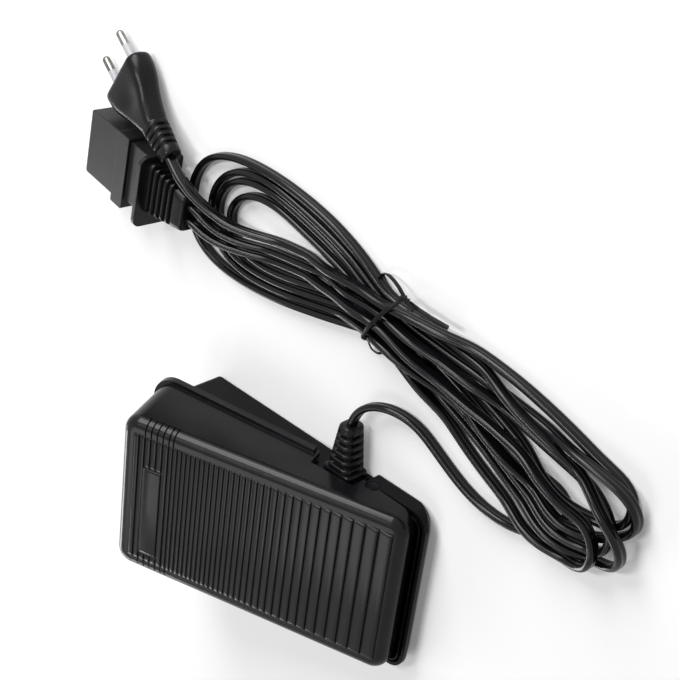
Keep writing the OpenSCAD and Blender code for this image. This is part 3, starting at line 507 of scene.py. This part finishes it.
def skin(name, rings):
    """Mesh over rings of points in millimetres, closed at both ends; its UV is metres along and turns."""
    rings = np.asarray(rings, float) * MM
    count = rings.shape[1]
    middle = rings.mean(axis=1)
    run = np.concatenate([[0], np.cumsum(np.linalg.norm(np.diff(middle, axis=0), axis=1))])
    faces = []
    uvs = []
    for i in range(len(rings) - 1):
        for j in range(count):
            k = (j + 1) % count
            faces.append((i * count + j, i * count + k, (i + 1) * count + k, (i + 1) * count + j))
            v0, v1 = j / count, (j + 1) / count
            uvs += [(run[i], v0), (run[i], v1), (run[i + 1], v1), (run[i + 1], v0)]
    last = (len(rings) - 1) * count
    faces.append(tuple(range(count - 1, -1, -1)))
    faces.append(tuple(range(last, last + count)))
    uvs += [(0, 0)] * (2 * count)
    mesh = bpy.data.meshes.new(name)
    mesh.from_pydata(rings.reshape(-1, 3).tolist(), [], faces)
    mesh.uv_layers.new(name="along").data.foreach_set("uv", np.array(uvs, np.float32).ravel())
    shape = bmesh.new()
    shape.from_mesh(mesh)
    bmesh.ops.recalc_face_normals(shape, faces=shape.faces)
    shape.to_mesh(mesh)
    shape.free()
    return shown(name, mesh)


def joined(name, parts):
    """Several skins as one piece."""
    shape = bmesh.new()
    for part in parts:
        shape.from_mesh(part.data)
        bpy.data.objects.remove(part)
    mesh = bpy.data.meshes.new(name)
    shape.to_mesh(mesh)
    shape.free()
    return shown(name, mesh)


def upright(tangent):
    """Side and up along a line whose section stays upright."""
    side = np.cross(tangent, (0, 0, 1))
    side /= np.linalg.norm(side, axis=1)[:, None]
    return side, np.cross(side, tangent)


def untwisted(tangent, first):
    """Side and up along a line whose section turns as little as it can from its first up direction."""
    ups = [np.array(first, float)]
    for t in tangent:
        up = ups[-1] - t * ups[-1].dot(t)
        ups.append(up / np.linalg.norm(up))
    up = np.array(ups[1:])
    return np.cross(tangent, up), up


def sweep(name, line, section, first_up=None):
    """A section swept along a line."""
    line = np.asarray(line, float)
    tangent = np.gradient(line, axis=0)
    tangent /= np.linalg.norm(tangent, axis=1)[:, None]
    side, up = upright(tangent) if first_up is None else untwisted(tangent, first_up)
    return skin(name, [[p + s * a + u * b for a, b in section] for p, s, u in zip(line, side, up)])


line_a, line_b = settle([laid_out(route) for route in (ROUTE_A, ROUTE_B)])
cord_a = sweep("cord_pedal_to_connector", even(line_a, RING_STEP, across=3), cord_section())
cord_b = sweep("cord_connector_to_plug", even(line_b, RING_STEP, across=3), cord_section())

# Tie: a flat plastic strip with a wire core, from one tail through the knot, round the hank and back
TIE_SECTION = [(1.0, 0.0), (0.9, 0.17), (0.5, 0.2), (0.28, 0.36), (0.0, 0.42)]
TIE_SHORT_TAIL = [(54.5, 136, 11.4), (52, 136.8, 10.8)]
TIE_OVER = [(45.6, 135.6), (41.2, 129.6), (37.6, 123.2), (34.2, 117), (31.4, 112), (29.8, 109)]
TIE_OVER_ENDS = (10, 6.5)
TIE_RING = [
    (28, 106, 4.4), (28.8, 102.6, 2.8), (32, 101.4, 1.9), (35, 103.6, 1.4), (36.4, 107.8, 1),
    (37, 113, 0.9), (37, 122, 0.9), (36.4, 128.4, 0.9), (34.6, 131.6, 0.9), (31.6, 133.6, 0.9),
    (29, 135.2, 0.9), (27.6, 136.8, 0.95), (27.8, 138.4, 1.5), (29.8, 139.9, 2.7), (33.2, 141.1, 4.1),
    (37.6, 141, 5.6), (42, 139.8, 6.8),
]
TIE_LONG_TAIL = [(56.5, 137.2, 10.4), (63.5, 136.4, 10), (72, 135.6, 9)]
TIE_KNOT = ((46.2, 137.9, 8.2), (50.2, 137.6, 9.4))
TIE_KNOT_TURNS = 2
TIE_KNOT_STEPS = 8 * TIE_KNOT_TURNS
TIE_KNOT_R = 0.75
TIE_REACH = 2.2
TIE_LAY_STEP = 1.0
TIE_STEP = 0.5
TIE_SOFT = 2.5


def twisted(phase, backwards):
    """One strand of the knot: a helix round the knot's axis."""
    start, end = (Vector(p) for p in TIE_KNOT)
    axis = (end - start).normalized()
    out = axis.orthogonal().normalized()
    points = []
    for i in range(TIE_KNOT_STEPS + 1):
        t = i / TIE_KNOT_STEPS
        angle = phase + 2 * math.pi * TIE_KNOT_TURNS * t
        arm = TIE_KNOT_R * (math.cos(angle) * out + math.sin(angle) * axis.cross(out))
        points.append(tuple(start + (end - start) * t + arm))
    return points[::-1] if backwards else points


def curve_through(points, step):
    """Even steps along a smooth curve through points in space."""
    p = np.array(points, float)
    at_point = np.linspace(0, len(p) - 1, CURVE_POINTS * len(p))
    fine = np.column_stack([np.interp(at_point, np.arange(len(p)), p[:, k]) for k in range(3)])
    return even(soften(even(fine, step / 2, across=3), TIE_SOFT), step, across=3)


def cord_top(x, y):
    """Height of the strip's middle where it lies on the cords at a place."""
    tops = [line[np.hypot(line[:, 0] - x, line[:, 1] - y) < TIE_REACH, 2] for line in (line_a, line_b)]
    return max([0, *np.concatenate(tops)]) + CORD_W / 2 + TIE_WIRE


def taut(points, ends):
    """The strip pulled tight over the cords: straight from one high place to the next."""
    line = even(np.array(points, float), TIE_LAY_STEP)
    heights = [cord_top(*p) for p in line]
    heights[0], heights[-1] = ends
    hull = []
    for i, z in enumerate(heights):
        while len(hull) > 1:
            (i0, z0), (i1, z1) = hull[-2:]
            if (z1 - z0) * (i - i0) > (z - z0) * (i1 - i0):
                break
            hull.pop()
        hull.append((i, z))
    z = np.interp(np.arange(len(line)), *zip(*hull))
    return [tuple(p) for p in np.column_stack([line, z])]


tie_ring = taut(TIE_OVER, TIE_OVER_ENDS) + TIE_RING
tie_path = TIE_SHORT_TAIL + twisted(0, True) + tie_ring + twisted(math.pi, False) + TIE_LONG_TAIL
tie_outline = TIE_SECTION + [(-a, b) for a, b in TIE_SECTION[-2::-1]]
tie_outline += [(a, -b) for a, b in tie_outline[-2:0:-1]]
tie = sweep("tie_strip", curve_through(tie_path, TIE_STEP), tie_outline, (0, 0, 1))

# Moulded ends, each in its own frame in millimetres: x along it, y across, z up
PER_CORNER = 6
PER_SIDE = 10
MOST_ROUND = 0.48
LEAST_ROUND = 0.6
RIDGE_FALL = 1.5

# How a groove goes down from its edge, and how a boot's tip closes: place, and share of the groove's depth
BOOT_ROOT = [(0, 0), (0.4, 0)]
GROOVE_WALL = [(-0.25, 0), (0, 0.15), (0.2, 0.85), (0.45, 1)]
BOOT_TIP = [(-1.2, 0), (-0.5, 0.12), (-0.1, 0.35), (0, 0.6)]


def outline(width, height, radius):
    """Rounded rectangle as across and up, with the same count of points whatever its size."""
    radius = min(radius, MOST_ROUND * width, MOST_ROUND * height)
    corners = []
    for quarter, (sx, sy) in enumerate(((1, 1), (-1, 1), (-1, -1), (1, -1))):
        for i in range(PER_CORNER + 1):
            angle = math.pi / 2 * (quarter + i / PER_CORNER)
            corners.append((
                sx * (width / 2 - radius) + radius * math.cos(angle),
                sy * (height / 2 - radius) + radius * math.sin(angle),
            ))
    points = []
    for i, corner in enumerate(corners):
        points.append(corner)
        if i % (PER_CORNER + 1) == PER_CORNER:
            after = corners[(i + 1) % len(corners)]
            for k in range(1, PER_SIDE):
                t = k / PER_SIDE
                points.append(tuple(c + (d - c) * t for c, d in zip(corner, after)))
    return np.array(points)


def ridge_mask():
    """How deep a groove is at each point of an outline, where it stops at a narrow ridge on each corner."""
    middle = PER_CORNER / 2
    corner = [min(1, abs(i - middle) / middle * RIDGE_FALL) for i in range(PER_CORNER + 1)]
    return np.array((corner + [1] * (PER_SIDE - 1)) * 4)[:, None]


def boot(start, length, base, tip, radius, grooves, lead, pitch, groove_w, depth, ridged):
    """Rings of a tapered boot with grooves cut round it; ridged ones leave its corners whole."""
    cut_stops = list(BOOT_ROOT)
    for n in range(grooves):
        middle = lead + pitch * n
        cut_stops += [(middle - groove_w / 2 + s, cut) for s, cut in GROOVE_WALL]
        cut_stops += [(middle + groove_w / 2 - s, cut) for s, cut in GROOVE_WALL[::-1]]
    mask = ridge_mask() if ridged else 1
    shares = [(along, cut * mask) for along, cut in cut_stops]
    shares += [(length + s, cut) for s, cut in BOOT_TIP]
    rings = []
    for along, share in shares:
        t = along / length
        width = base[0] + (tip[0] - base[0]) * t
        height = base[1] + (tip[1] - base[1]) * t
        whole = outline(width, height, radius)
        inset = outline(width - 2 * depth, height - 2 * depth, max(radius - depth, LEAST_ROUND))
        rings.append([(start + along, a, b) for a, b in whole + (inset - whole) * share])
    return rings


def put(place, rings):
    """Rings of a local frame, in the shared frame."""
    return [[tuple(place @ Vector(p)) for p in ring] for ring in rings]


def place_of(at_point, turn_z, turn_y):
    """A moulded end's own frame."""
    across = Matrix.Rotation(math.radians(turn_y), 4, "Y")
    return Matrix.Translation(at_point) @ Matrix.Rotation(math.radians(turn_z), 4, "Z") @ across


# Strain relief in the base's side: flange, neck and collar as along, width, height and corner, then boot
RELIEF = place_of((28.754, 35.9, 8.5), turn_z=90, turn_y=0)
RELIEF_ROOT = [
    (0, 11.4, 9, 1.2), (0.3, 12, 9.6, 1.5), (1.7, 12, 9.6, 1.5), (2, 11.6, 9.2, 1.5),
    (2, 8, 9, 1), (4.4, 8, 9, 1),
    (4.4, 16, 12.2, 2), (4.7, 17, 13.2, 2.4), (6.4, 17, 13.2, 2.4), (6.8, 16.6, 12.8, 2.4),
    (7, 15.6, 12, 2.2), (7, 14.4, 13, 2.6),
]
relief_rings = [[(along, a, b) for a, b in outline(w, h, r)] for along, w, h, r in RELIEF_ROOT]
relief_rings += boot(
    start=7, length=23, base=(14, 13.2), tip=(8.8, 10.8), radius=3.6,
    grooves=5, lead=3.4, pitch=3.7, groove_w=2.0, depth=1.8, ridged=True,
)
relief = skin("strain_relief_boot", put(RELIEF, relief_rings))

# Boot of the machine connector
CONNECTOR = place_of((-156.246, 134.4, 8), turn_z=-6.5, turn_y=-5.2)
connector_rings = boot(
    start=49.6, length=27.1, base=(27, 16.5), tip=(19, 11), radius=3.6,
    grooves=5, lead=4.1, pitch=3.7, groove_w=2.5, depth=2.0, ridged=False,
)
connector_boot = skin("connector_boot_ribbed", put(CONNECTOR, connector_rings))

# Mains plug: its body's widths, heights and corners from the pin face back, then its boot
PLUG = place_of((-141.446, 171.6, 6.85), turn_z=149.3, turn_y=8)
PLUG_LEN = 32
PLUG_BACK = [0, 0.4, 1.2, 2.4, 6, 10, 14, 18, 22, 26, 29, 31, PLUG_LEN]
PLUG_WIDTH = [32.2, 33.8, 34.8, 35.3, 35.2, 33.4, 29.6, 25.2, 21, 17.6, 15.4, 14.2, 13.2]
PLUG_HEIGHT = [10.8, 12.3, 13.2, 13.7, 13.7, 13.5, 13.2, 12.9, 12.7, 12.5, 12.3, 12.1, 11.6]
PLUG_CORNER_AT = [0, 2, 8, 20, PLUG_LEN]
PLUG_CORNER = [4.9, 6.1, 6.4, 6, 5.2]
PLUG_FRONT = [0, 0.3, 0.7, 1.2, 1.8, 2.4]
PLUG_STEP = 0.8
PLUG_SOFT = 2
PLUG_LEAN_AT = [22, 36, 52]
PLUG_LEAN = [0, 0.96, 1.2]
PLUG_SCOOP = 1.3
PLUG_SCOOP_AT = 15.5
PLUG_SCOOP_ALONG = 6.0
PLUG_SCOOP_ACROSS = 8.5


def plug_body_rings():
    """The plug's body: rounded sections with a shallow thumb scoop in the top and bottom."""
    steps = np.arange(1, round((PLUG_LEN - PLUG_FRONT[-1]) / PLUG_STEP) + 1)
    rings = []
    for s in PLUG_FRONT + list(PLUG_FRONT[-1] + PLUG_STEP * steps):
        width = np.interp(s, PLUG_BACK, PLUG_WIDTH)
        height = np.interp(s, PLUG_BACK, PLUG_HEIGHT)
        ring = []
        for a, b in outline(width, height, np.interp(s, PLUG_CORNER_AT, PLUG_CORNER)):
            scoop = math.exp(-((s - PLUG_SCOOP_AT) / PLUG_SCOOP_ALONG) ** 2 - (a / PLUG_SCOOP_ACROSS) ** 2)
            ring.append((s, a, b * (1 - PLUG_SCOOP * scoop / (height / 2))))
        rings.append(ring)
    smooth = np.array(rings)
    behind = len(PLUG_FRONT)
    for axis in (1, 2):
        smooth[behind:, :, axis] = soften(smooth[behind:, :, axis], PLUG_SOFT)
    return smooth.tolist()


def lean(s):
    """How far the plug's boot leans away from the connector beside it."""
    return float(np.interp(s, PLUG_LEAN_AT, PLUG_LEAN))


plug_rings = plug_body_rings() + boot(
    start=PLUG_LEN, length=19.2, base=(13, 11.6), tip=(10.8, 9.8), radius=4.6,
    grooves=4, lead=3.2, pitch=3.4, groove_w=1.7, depth=1.5, ridged=True,
)
plug_rings = [[(-s, a - lean(s), b) for s, a, b in ring] for ring in plug_rings]
plug = skin("plug_shell", put(PLUG, plug_rings))

# Tread ribs, in the cover's own frame: u along the tread from the hinge axis, v across, w square to it
TREAD_HINGE = (46.754, 9.5)
TREAD_TILT = math.radians(18)
TREAD_RISE = 17.4
RIB_COUNT = 38
RIB_START = -114.3
RIB_END = 19.5
RIB_HW = 35.3
RIB_STEP = 0.11
RIB_TOP = 0.42
RIB_FOOT = -0.2
RIB_CROWN = 0.04
RIB_GROOVE = 0.95
TOE_RIBS = 6
TOE_PITCH = 3.2
FINE_PITCH = 2.4
PITCH_POWER = 3
COARSE_PITCH = 4
COARSE_GROOVE = 0.8 * RIB_GROOVE
PAD_RIBS = (2, 5)
PAD_V = (-31, 18)
PAD_GAP = 0.6
PAD_TOP = RIB_TOP + 0.9 * RIB_STEP * TOE_PITCH

# How a rib's sides and ends come up: distance from the side or end, and share of the rib's height there
RIB_FRONT = [(0.06, 0.7), (0.14, 0.92), (0.3, 1)]
RIB_BACK = [(0.3, 1), (0.12, 0.93), (0.04, 0.75)]
RIB_ENDS = [(0, 0.1), (0.3, 0.5), (0.8, 0.85), (1.5, 1)]


def rib_places():
    """Where each rib starts: a toe group of one pitch, then a pitch that grows towards the heel."""
    fine = RIB_COUNT - TOE_RIBS
    growth = (np.arange(1, fine + 1) / fine) ** PITCH_POWER
    gain = (RIB_END - RIB_START - TOE_RIBS * TOE_PITCH - fine * FINE_PITCH) / growth.sum()
    pitches = np.concatenate([[TOE_PITCH] * TOE_RIBS, FINE_PITCH + gain * growth])
    return RIB_START + np.concatenate([[0], np.cumsum(pitches)])


def on_tread(u, v, w):
    """A point of the cover's frame in the shared frame."""
    w += TREAD_RISE
    return (
        TREAD_HINGE[0] + u * math.cos(TREAD_TILT) + w * math.sin(TREAD_TILT),
        v,
        TREAD_HINGE[1] - u * math.sin(TREAD_TILT) + w * math.cos(TREAD_TILT),
    )


def bar(start, end, low, high, v0, v1):
    """Rings of one rib from v0 to v1: steep sides, softened top edges and ends that run down."""
    profile = [(start, RIB_FOOT)]
    profile += [(start + s, low * share) for s, share in RIB_FRONT]
    profile.append(((start + end) / 2, (low + high) / 2 + RIB_CROWN))
    profile += [(end - s, high * share) for s, share in RIB_BACK]
    profile.append((end, RIB_FOOT))
    places = [(v0 + s, share) for s, share in RIB_ENDS] + [(v1 - s, share) for s, share in RIB_ENDS[::-1]]
    return [[on_tread(u, v, w * share if w > 0 else w) for u, w in profile] for v, share in places]


def rib_field():
    """All ribs and the plain pad between the toe ribs, as bars."""
    u = rib_places()
    bars = []
    for i in range(RIB_COUNT):
        pitch = u[i + 1] - u[i]
        spans = [(-RIB_HW, RIB_HW)]
        if PAD_RIBS[0] <= i < PAD_RIBS[1]:
            spans = [(-RIB_HW, PAD_V[0] - PAD_GAP), (PAD_V[1] + PAD_GAP, RIB_HW)]
        groove = RIB_GROOVE if pitch < COARSE_PITCH else COARSE_GROOVE
        for v0, v1 in spans:
            bars.append(bar(u[i] + groove, u[i + 1], RIB_TOP, RIB_TOP + RIB_STEP * pitch, v0, v1))
    bars.append(bar(u[PAD_RIBS[0]] + RIB_GROOVE, u[PAD_RIBS[1]], PAD_TOP, PAD_TOP, *PAD_V))
    return bars


# Return springs, in millimetres: closed end turns, foot on the base and top in the cover
SPRING_R = 5.8
SPRING_WIRE = 0.7
SPRING_TURNS = 6
SPRING_CLOSED = 1.45
SPRING_STEPS = 24
SPRING_SIDES = 10
spring_low, spring_high = (Vector(corner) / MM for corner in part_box("return_springs"))
spring_x = (spring_low.x + spring_high.x) / 2
spring_y = spring_high.y - SPRING_R - SPRING_WIRE


def spring(side):
    """One coil, from its foot to its top."""
    rise = spring_high.z - spring_low.z - 2 * SPRING_WIRE
    turns = np.linspace(0, SPRING_TURNS, SPRING_TURNS * SPRING_STEPS + 1)
    stops = [0, 1, SPRING_TURNS - 1, SPRING_TURNS]
    height = np.interp(turns, stops, [0, SPRING_CLOSED, rise - SPRING_CLOSED, rise])
    angle = 2 * math.pi * turns
    line = np.column_stack([
        spring_x + SPRING_R * np.cos(angle),
        side * spring_y + SPRING_R * np.sin(angle),
        spring_low.z + SPRING_WIRE + height,
    ])
    around = 2 * math.pi * np.arange(SPRING_SIDES) / SPRING_SIDES
    wire = [(SPRING_WIRE * math.cos(a), SPRING_WIRE * math.sin(a)) for a in around]
    return sweep("spring", line, wire, (0, 0, 1))


springs = joined("return_spring_coils", [spring(side) for side in (-1, 1)])
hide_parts("return_springs")
dress(springs, "spring_steel")
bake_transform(springs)

# Base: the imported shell, with the slope under its heel carried round both corners
HEEL_R = 9
HEEL_SLOPE = 1.45
HEEL_RISE = 5.8
HEEL_CUTS = range(10, 80, 10)
WELD = 0.002
CUT_SLACK = 0.0002


def rounded_heel(name, node):
    """A copy of the shell whose lower heel corners are cut by planes that follow the corner."""
    low, high = (Vector(corner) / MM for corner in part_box("base_shell"))
    shape = bmesh.new()
    shape.from_mesh(node.data)
    bmesh.ops.remove_doubles(shape, verts=shape.verts, dist=WELD * MM)
    for side in (-1, 1):
        for degrees in HEEL_CUTS:
            a = math.radians(degrees)
            out = Vector((math.cos(a), side * math.sin(a), 0))
            middle = Vector((high.x - HEEL_R, side * (high.y - HEEL_R), low.z + HEEL_RISE * math.cos(a)))
            bmesh.ops.bisect_plane(
                shape,
                geom=shape.verts[:] + shape.edges[:] + shape.faces[:],
                dist=CUT_SLACK * MM,
                plane_co=(middle + out * HEEL_R) * MM,
                plane_no=(out * HEEL_SLOPE - Vector((0, 0, 1))).normalized(),
                clear_outer=True,
            )
            bmesh.ops.remove_doubles(shape, verts=shape.verts, dist=WELD * MM)
            bmesh.ops.triangle_fill(shape, use_beauty=True, edges=[e for e in shape.edges if e.is_boundary])
    bmesh.ops.recalc_face_normals(shape, faces=shape.faces)
    mesh = bpy.data.meshes.new(name)
    shape.to_mesh(mesh)
    shape.free()
    if "custom_normal" in mesh.attributes:
        mesh.attributes.remove(mesh.attributes["custom_normal"])
    obj = shown(name, mesh)
    obj.modifiers.new("flat_faces", "WEIGHTED_NORMAL").keep_sharp = True
    return obj


base = rounded_heel("base_tray", nodes["base_shell"])

# Hinge pins, in millimetres: round pins through the base's rim, with a soft edge on the outer end
PIN_LEN = 13.2
PIN_EDGE = 0.5
PIN_SIDES = 40
PIN_ARC = range(0, 91, 30)
pin_low, pin_high = (Vector(corner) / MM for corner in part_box("hinge_pins"))


def hinge_pin(side):
    """One pin, from its inner end to its outer one."""
    radius = (pin_high.z - pin_low.z) / 2
    middle = (pin_low + pin_high) / 2
    stations = [(0, radius)]
    for degrees in PIN_ARC:
        a = math.radians(degrees)
        stations.append((PIN_LEN - PIN_EDGE * (1 - math.sin(a)), radius - PIN_EDGE * (1 - math.cos(a))))
    turns = 2 * math.pi * np.arange(PIN_SIDES) / PIN_SIDES
    rings = []
    for along, r in stations:
        y = side * (pin_high.y - PIN_LEN + along)
        rings.append([(middle.x + r * math.cos(t), y, middle.z + r * math.sin(t)) for t in turns])
    return skin("pin", rings)


pins = joined("hinge_pins_rounded", [hinge_pin(side) for side in (-1, 1)])

# What each piece rides on and stands for
ribs = joined("tread_ribs", [skin("rib", rings) for rings in rib_field()])
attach(ribs, "tread")
dress(ribs, "cover_plastic")

for piece, gone, slot in (
    (tie, "twist_tie", "tie_plastic"),
    (relief, "strain_relief", "boot_rubber"),
    (connector_boot, "connector_boot", "boot_rubber"),
    (plug, "plug_body", "boot_rubber"),
    (base, "base_shell", "base_plastic"),
    (pins, "hinge_pins", "base_plastic"),
):
    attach(piece, "base")
    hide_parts(gone)
    dress(piece, slot)

for piece, line, far_end, ends, gone in (
    (cord_a, line_a, "connector", (nodes["connector_body"], connector_boot, nodes["connector_contacts"]),
     ("pedal_lead", "cord_hank", "connector_lead_a")),
    (cord_b, line_b, "plug", (plug, nodes["plug_pins"], nodes["plug_pin_sleeves"]),
     ("connector_lead_b", "plug_lead")),
):
    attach(piece, "base")
    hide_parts(*gone)
    dress(piece, "cord_sheath")

# Stage, in metres: white to the camera and in reflections, a dimmer sky on the object, soft boxes, and a
# pale floor that keeps the shadow and is lifted to white further out
SKY_LIGHT = 0.15
FLOOR_HALF = 3
FLOOR_TONE = 0.86
FLOOR_ROUGH = 0.9
FLOOR_REACH = (0.35, 1.3)
FLOOR_LIFT = (0.17, 0.9)
WHITE = (1, 1, 1, 1)
LAMP_AIM = Vector((0, 0.08, 0.01))

# Soft boxes: name, place, width, height and watts
LAMPS = (
    ("low_box", (-0.32, 1.12, 0.52), 0.5, 0.9, 14.5),
    ("high_box", (-0.08, 0.54, 1.08), 0.45, 0.12, 4.6),
    ("back_box", (-0.92, -0.95, 0.42), 1.2, 0.2, 9.5),
    ("top_box", (-0.11, -0.62, 1.22), 0.65, 0.55, 3.0),
)


def seen(tree):
    """One where a ray comes from the camera, or from a mirror or glass."""
    path = tree.nodes.new("ShaderNodeLightPath")
    total = path.outputs["Is Camera Ray"]
    for name in ("Is Glossy Ray", "Is Transmission Ray"):
        more = tree.nodes.new("ShaderNodeMath")
        more.operation = "MAXIMUM"
        tree.links.new(total, more.inputs[0])
        tree.links.new(path.outputs[name], more.inputs[1])
        total = more.outputs[0]
    return total


def make_world():
    """Even studio surroundings."""
    world = bpy.data.worlds.new("studio")
    scene.world = world
    world.use_nodes = True
    tree = world.node_tree
    level = tree.nodes.new("ShaderNodeMapRange")
    level.inputs["To Min"].default_value = SKY_LIGHT
    level.inputs["To Max"].default_value = 1
    tree.links.new(seen(tree), level.inputs["Value"])
    tree.links.new(level.outputs["Result"], tree.nodes["Background"].inputs["Strength"])
    tree.nodes["Background"].inputs["Color"].default_value = WHITE


def make_floor():
    """Plain pale floor."""
    corners = [(x * FLOOR_HALF, y * FLOOR_HALF, 0) for x, y in ((-1, -1), (1, -1), (1, 1), (-1, 1))]
    mesh = bpy.data.meshes.new("floor")
    mesh.from_pydata(corners, [], [(0, 1, 2, 3)])
    floor = bpy.data.objects.new("floor", mesh)
    scene.collection.objects.link(floor)
    paper = bpy.data.materials.new("pale_floor")
    paper.use_nodes = True
    tree = paper.node_tree
    shader = tree.nodes["Principled BSDF"]
    shader.inputs["Base Color"].default_value = (FLOOR_TONE, FLOOR_TONE, FLOOR_TONE, 1)
    shader.inputs["Roughness"].default_value = FLOOR_ROUGH
    shader.inputs["Specular IOR Level"].default_value = 0.0
    shader.inputs["Emission Color"].default_value = WHITE
    reach = tree.nodes.new("ShaderNodeVectorMath")
    reach.operation = "LENGTH"
    tree.links.new(tree.nodes.new("ShaderNodeNewGeometry").outputs["Position"], reach.inputs[0])
    level = tree.nodes.new("ShaderNodeMapRange")
    for key, value in zip(("From Min", "From Max", "To Min", "To Max"), FLOOR_REACH + FLOOR_LIFT):
        level.inputs[key].default_value = value
    tree.links.new(reach.outputs["Value"], level.inputs["Value"])
    lift = tree.nodes.new("ShaderNodeMath")
    lift.operation = "MULTIPLY"
    tree.links.new(seen(tree), lift.inputs[0])
    tree.links.new(level.outputs["Result"], lift.inputs[1])
    tree.links.new(lift.outputs[0], shader.inputs["Emission Strength"])
    mesh.materials.append(paper)


def make_lamp(name, place, width, height, watts):
    """A soft box that faces the object."""
    lamp = bpy.data.lights.new(name, "AREA")
    lamp.shape = "RECTANGLE"
    lamp.size = width
    lamp.size_y = height
    lamp.energy = watts
    obj = bpy.data.objects.new(name, lamp)
    obj.rotation_euler = (LAMP_AIM - Vector(place)).to_track_quat("-Z", "Y").to_euler()
    obj.location = place
    scene.collection.objects.link(obj)


def make_camera():
    """The photograph's view."""
    camera = bpy.data.objects.new("view", bpy.data.cameras.new("view"))
    camera.data.sensor_width = SENSOR
    camera.data.lens = FOCAL_PIXELS / IMAGE_PIXELS * SENSOR
    right = VIEW_UP.cross(VIEW_BACK)
    turn = Matrix((right, VIEW_UP, VIEW_BACK)).transposed().to_4x4()
    camera.matrix_world = Matrix.Translation(VIEW_FROM) @ turn
    scene.collection.objects.link(camera)
    scene.camera = camera


scene.view_settings.view_transform = "Standard"
make_world()
make_floor()
for lamp_values in LAMPS:
    make_lamp(*lamp_values)
make_camera()

bpy.context.view_layer.update()
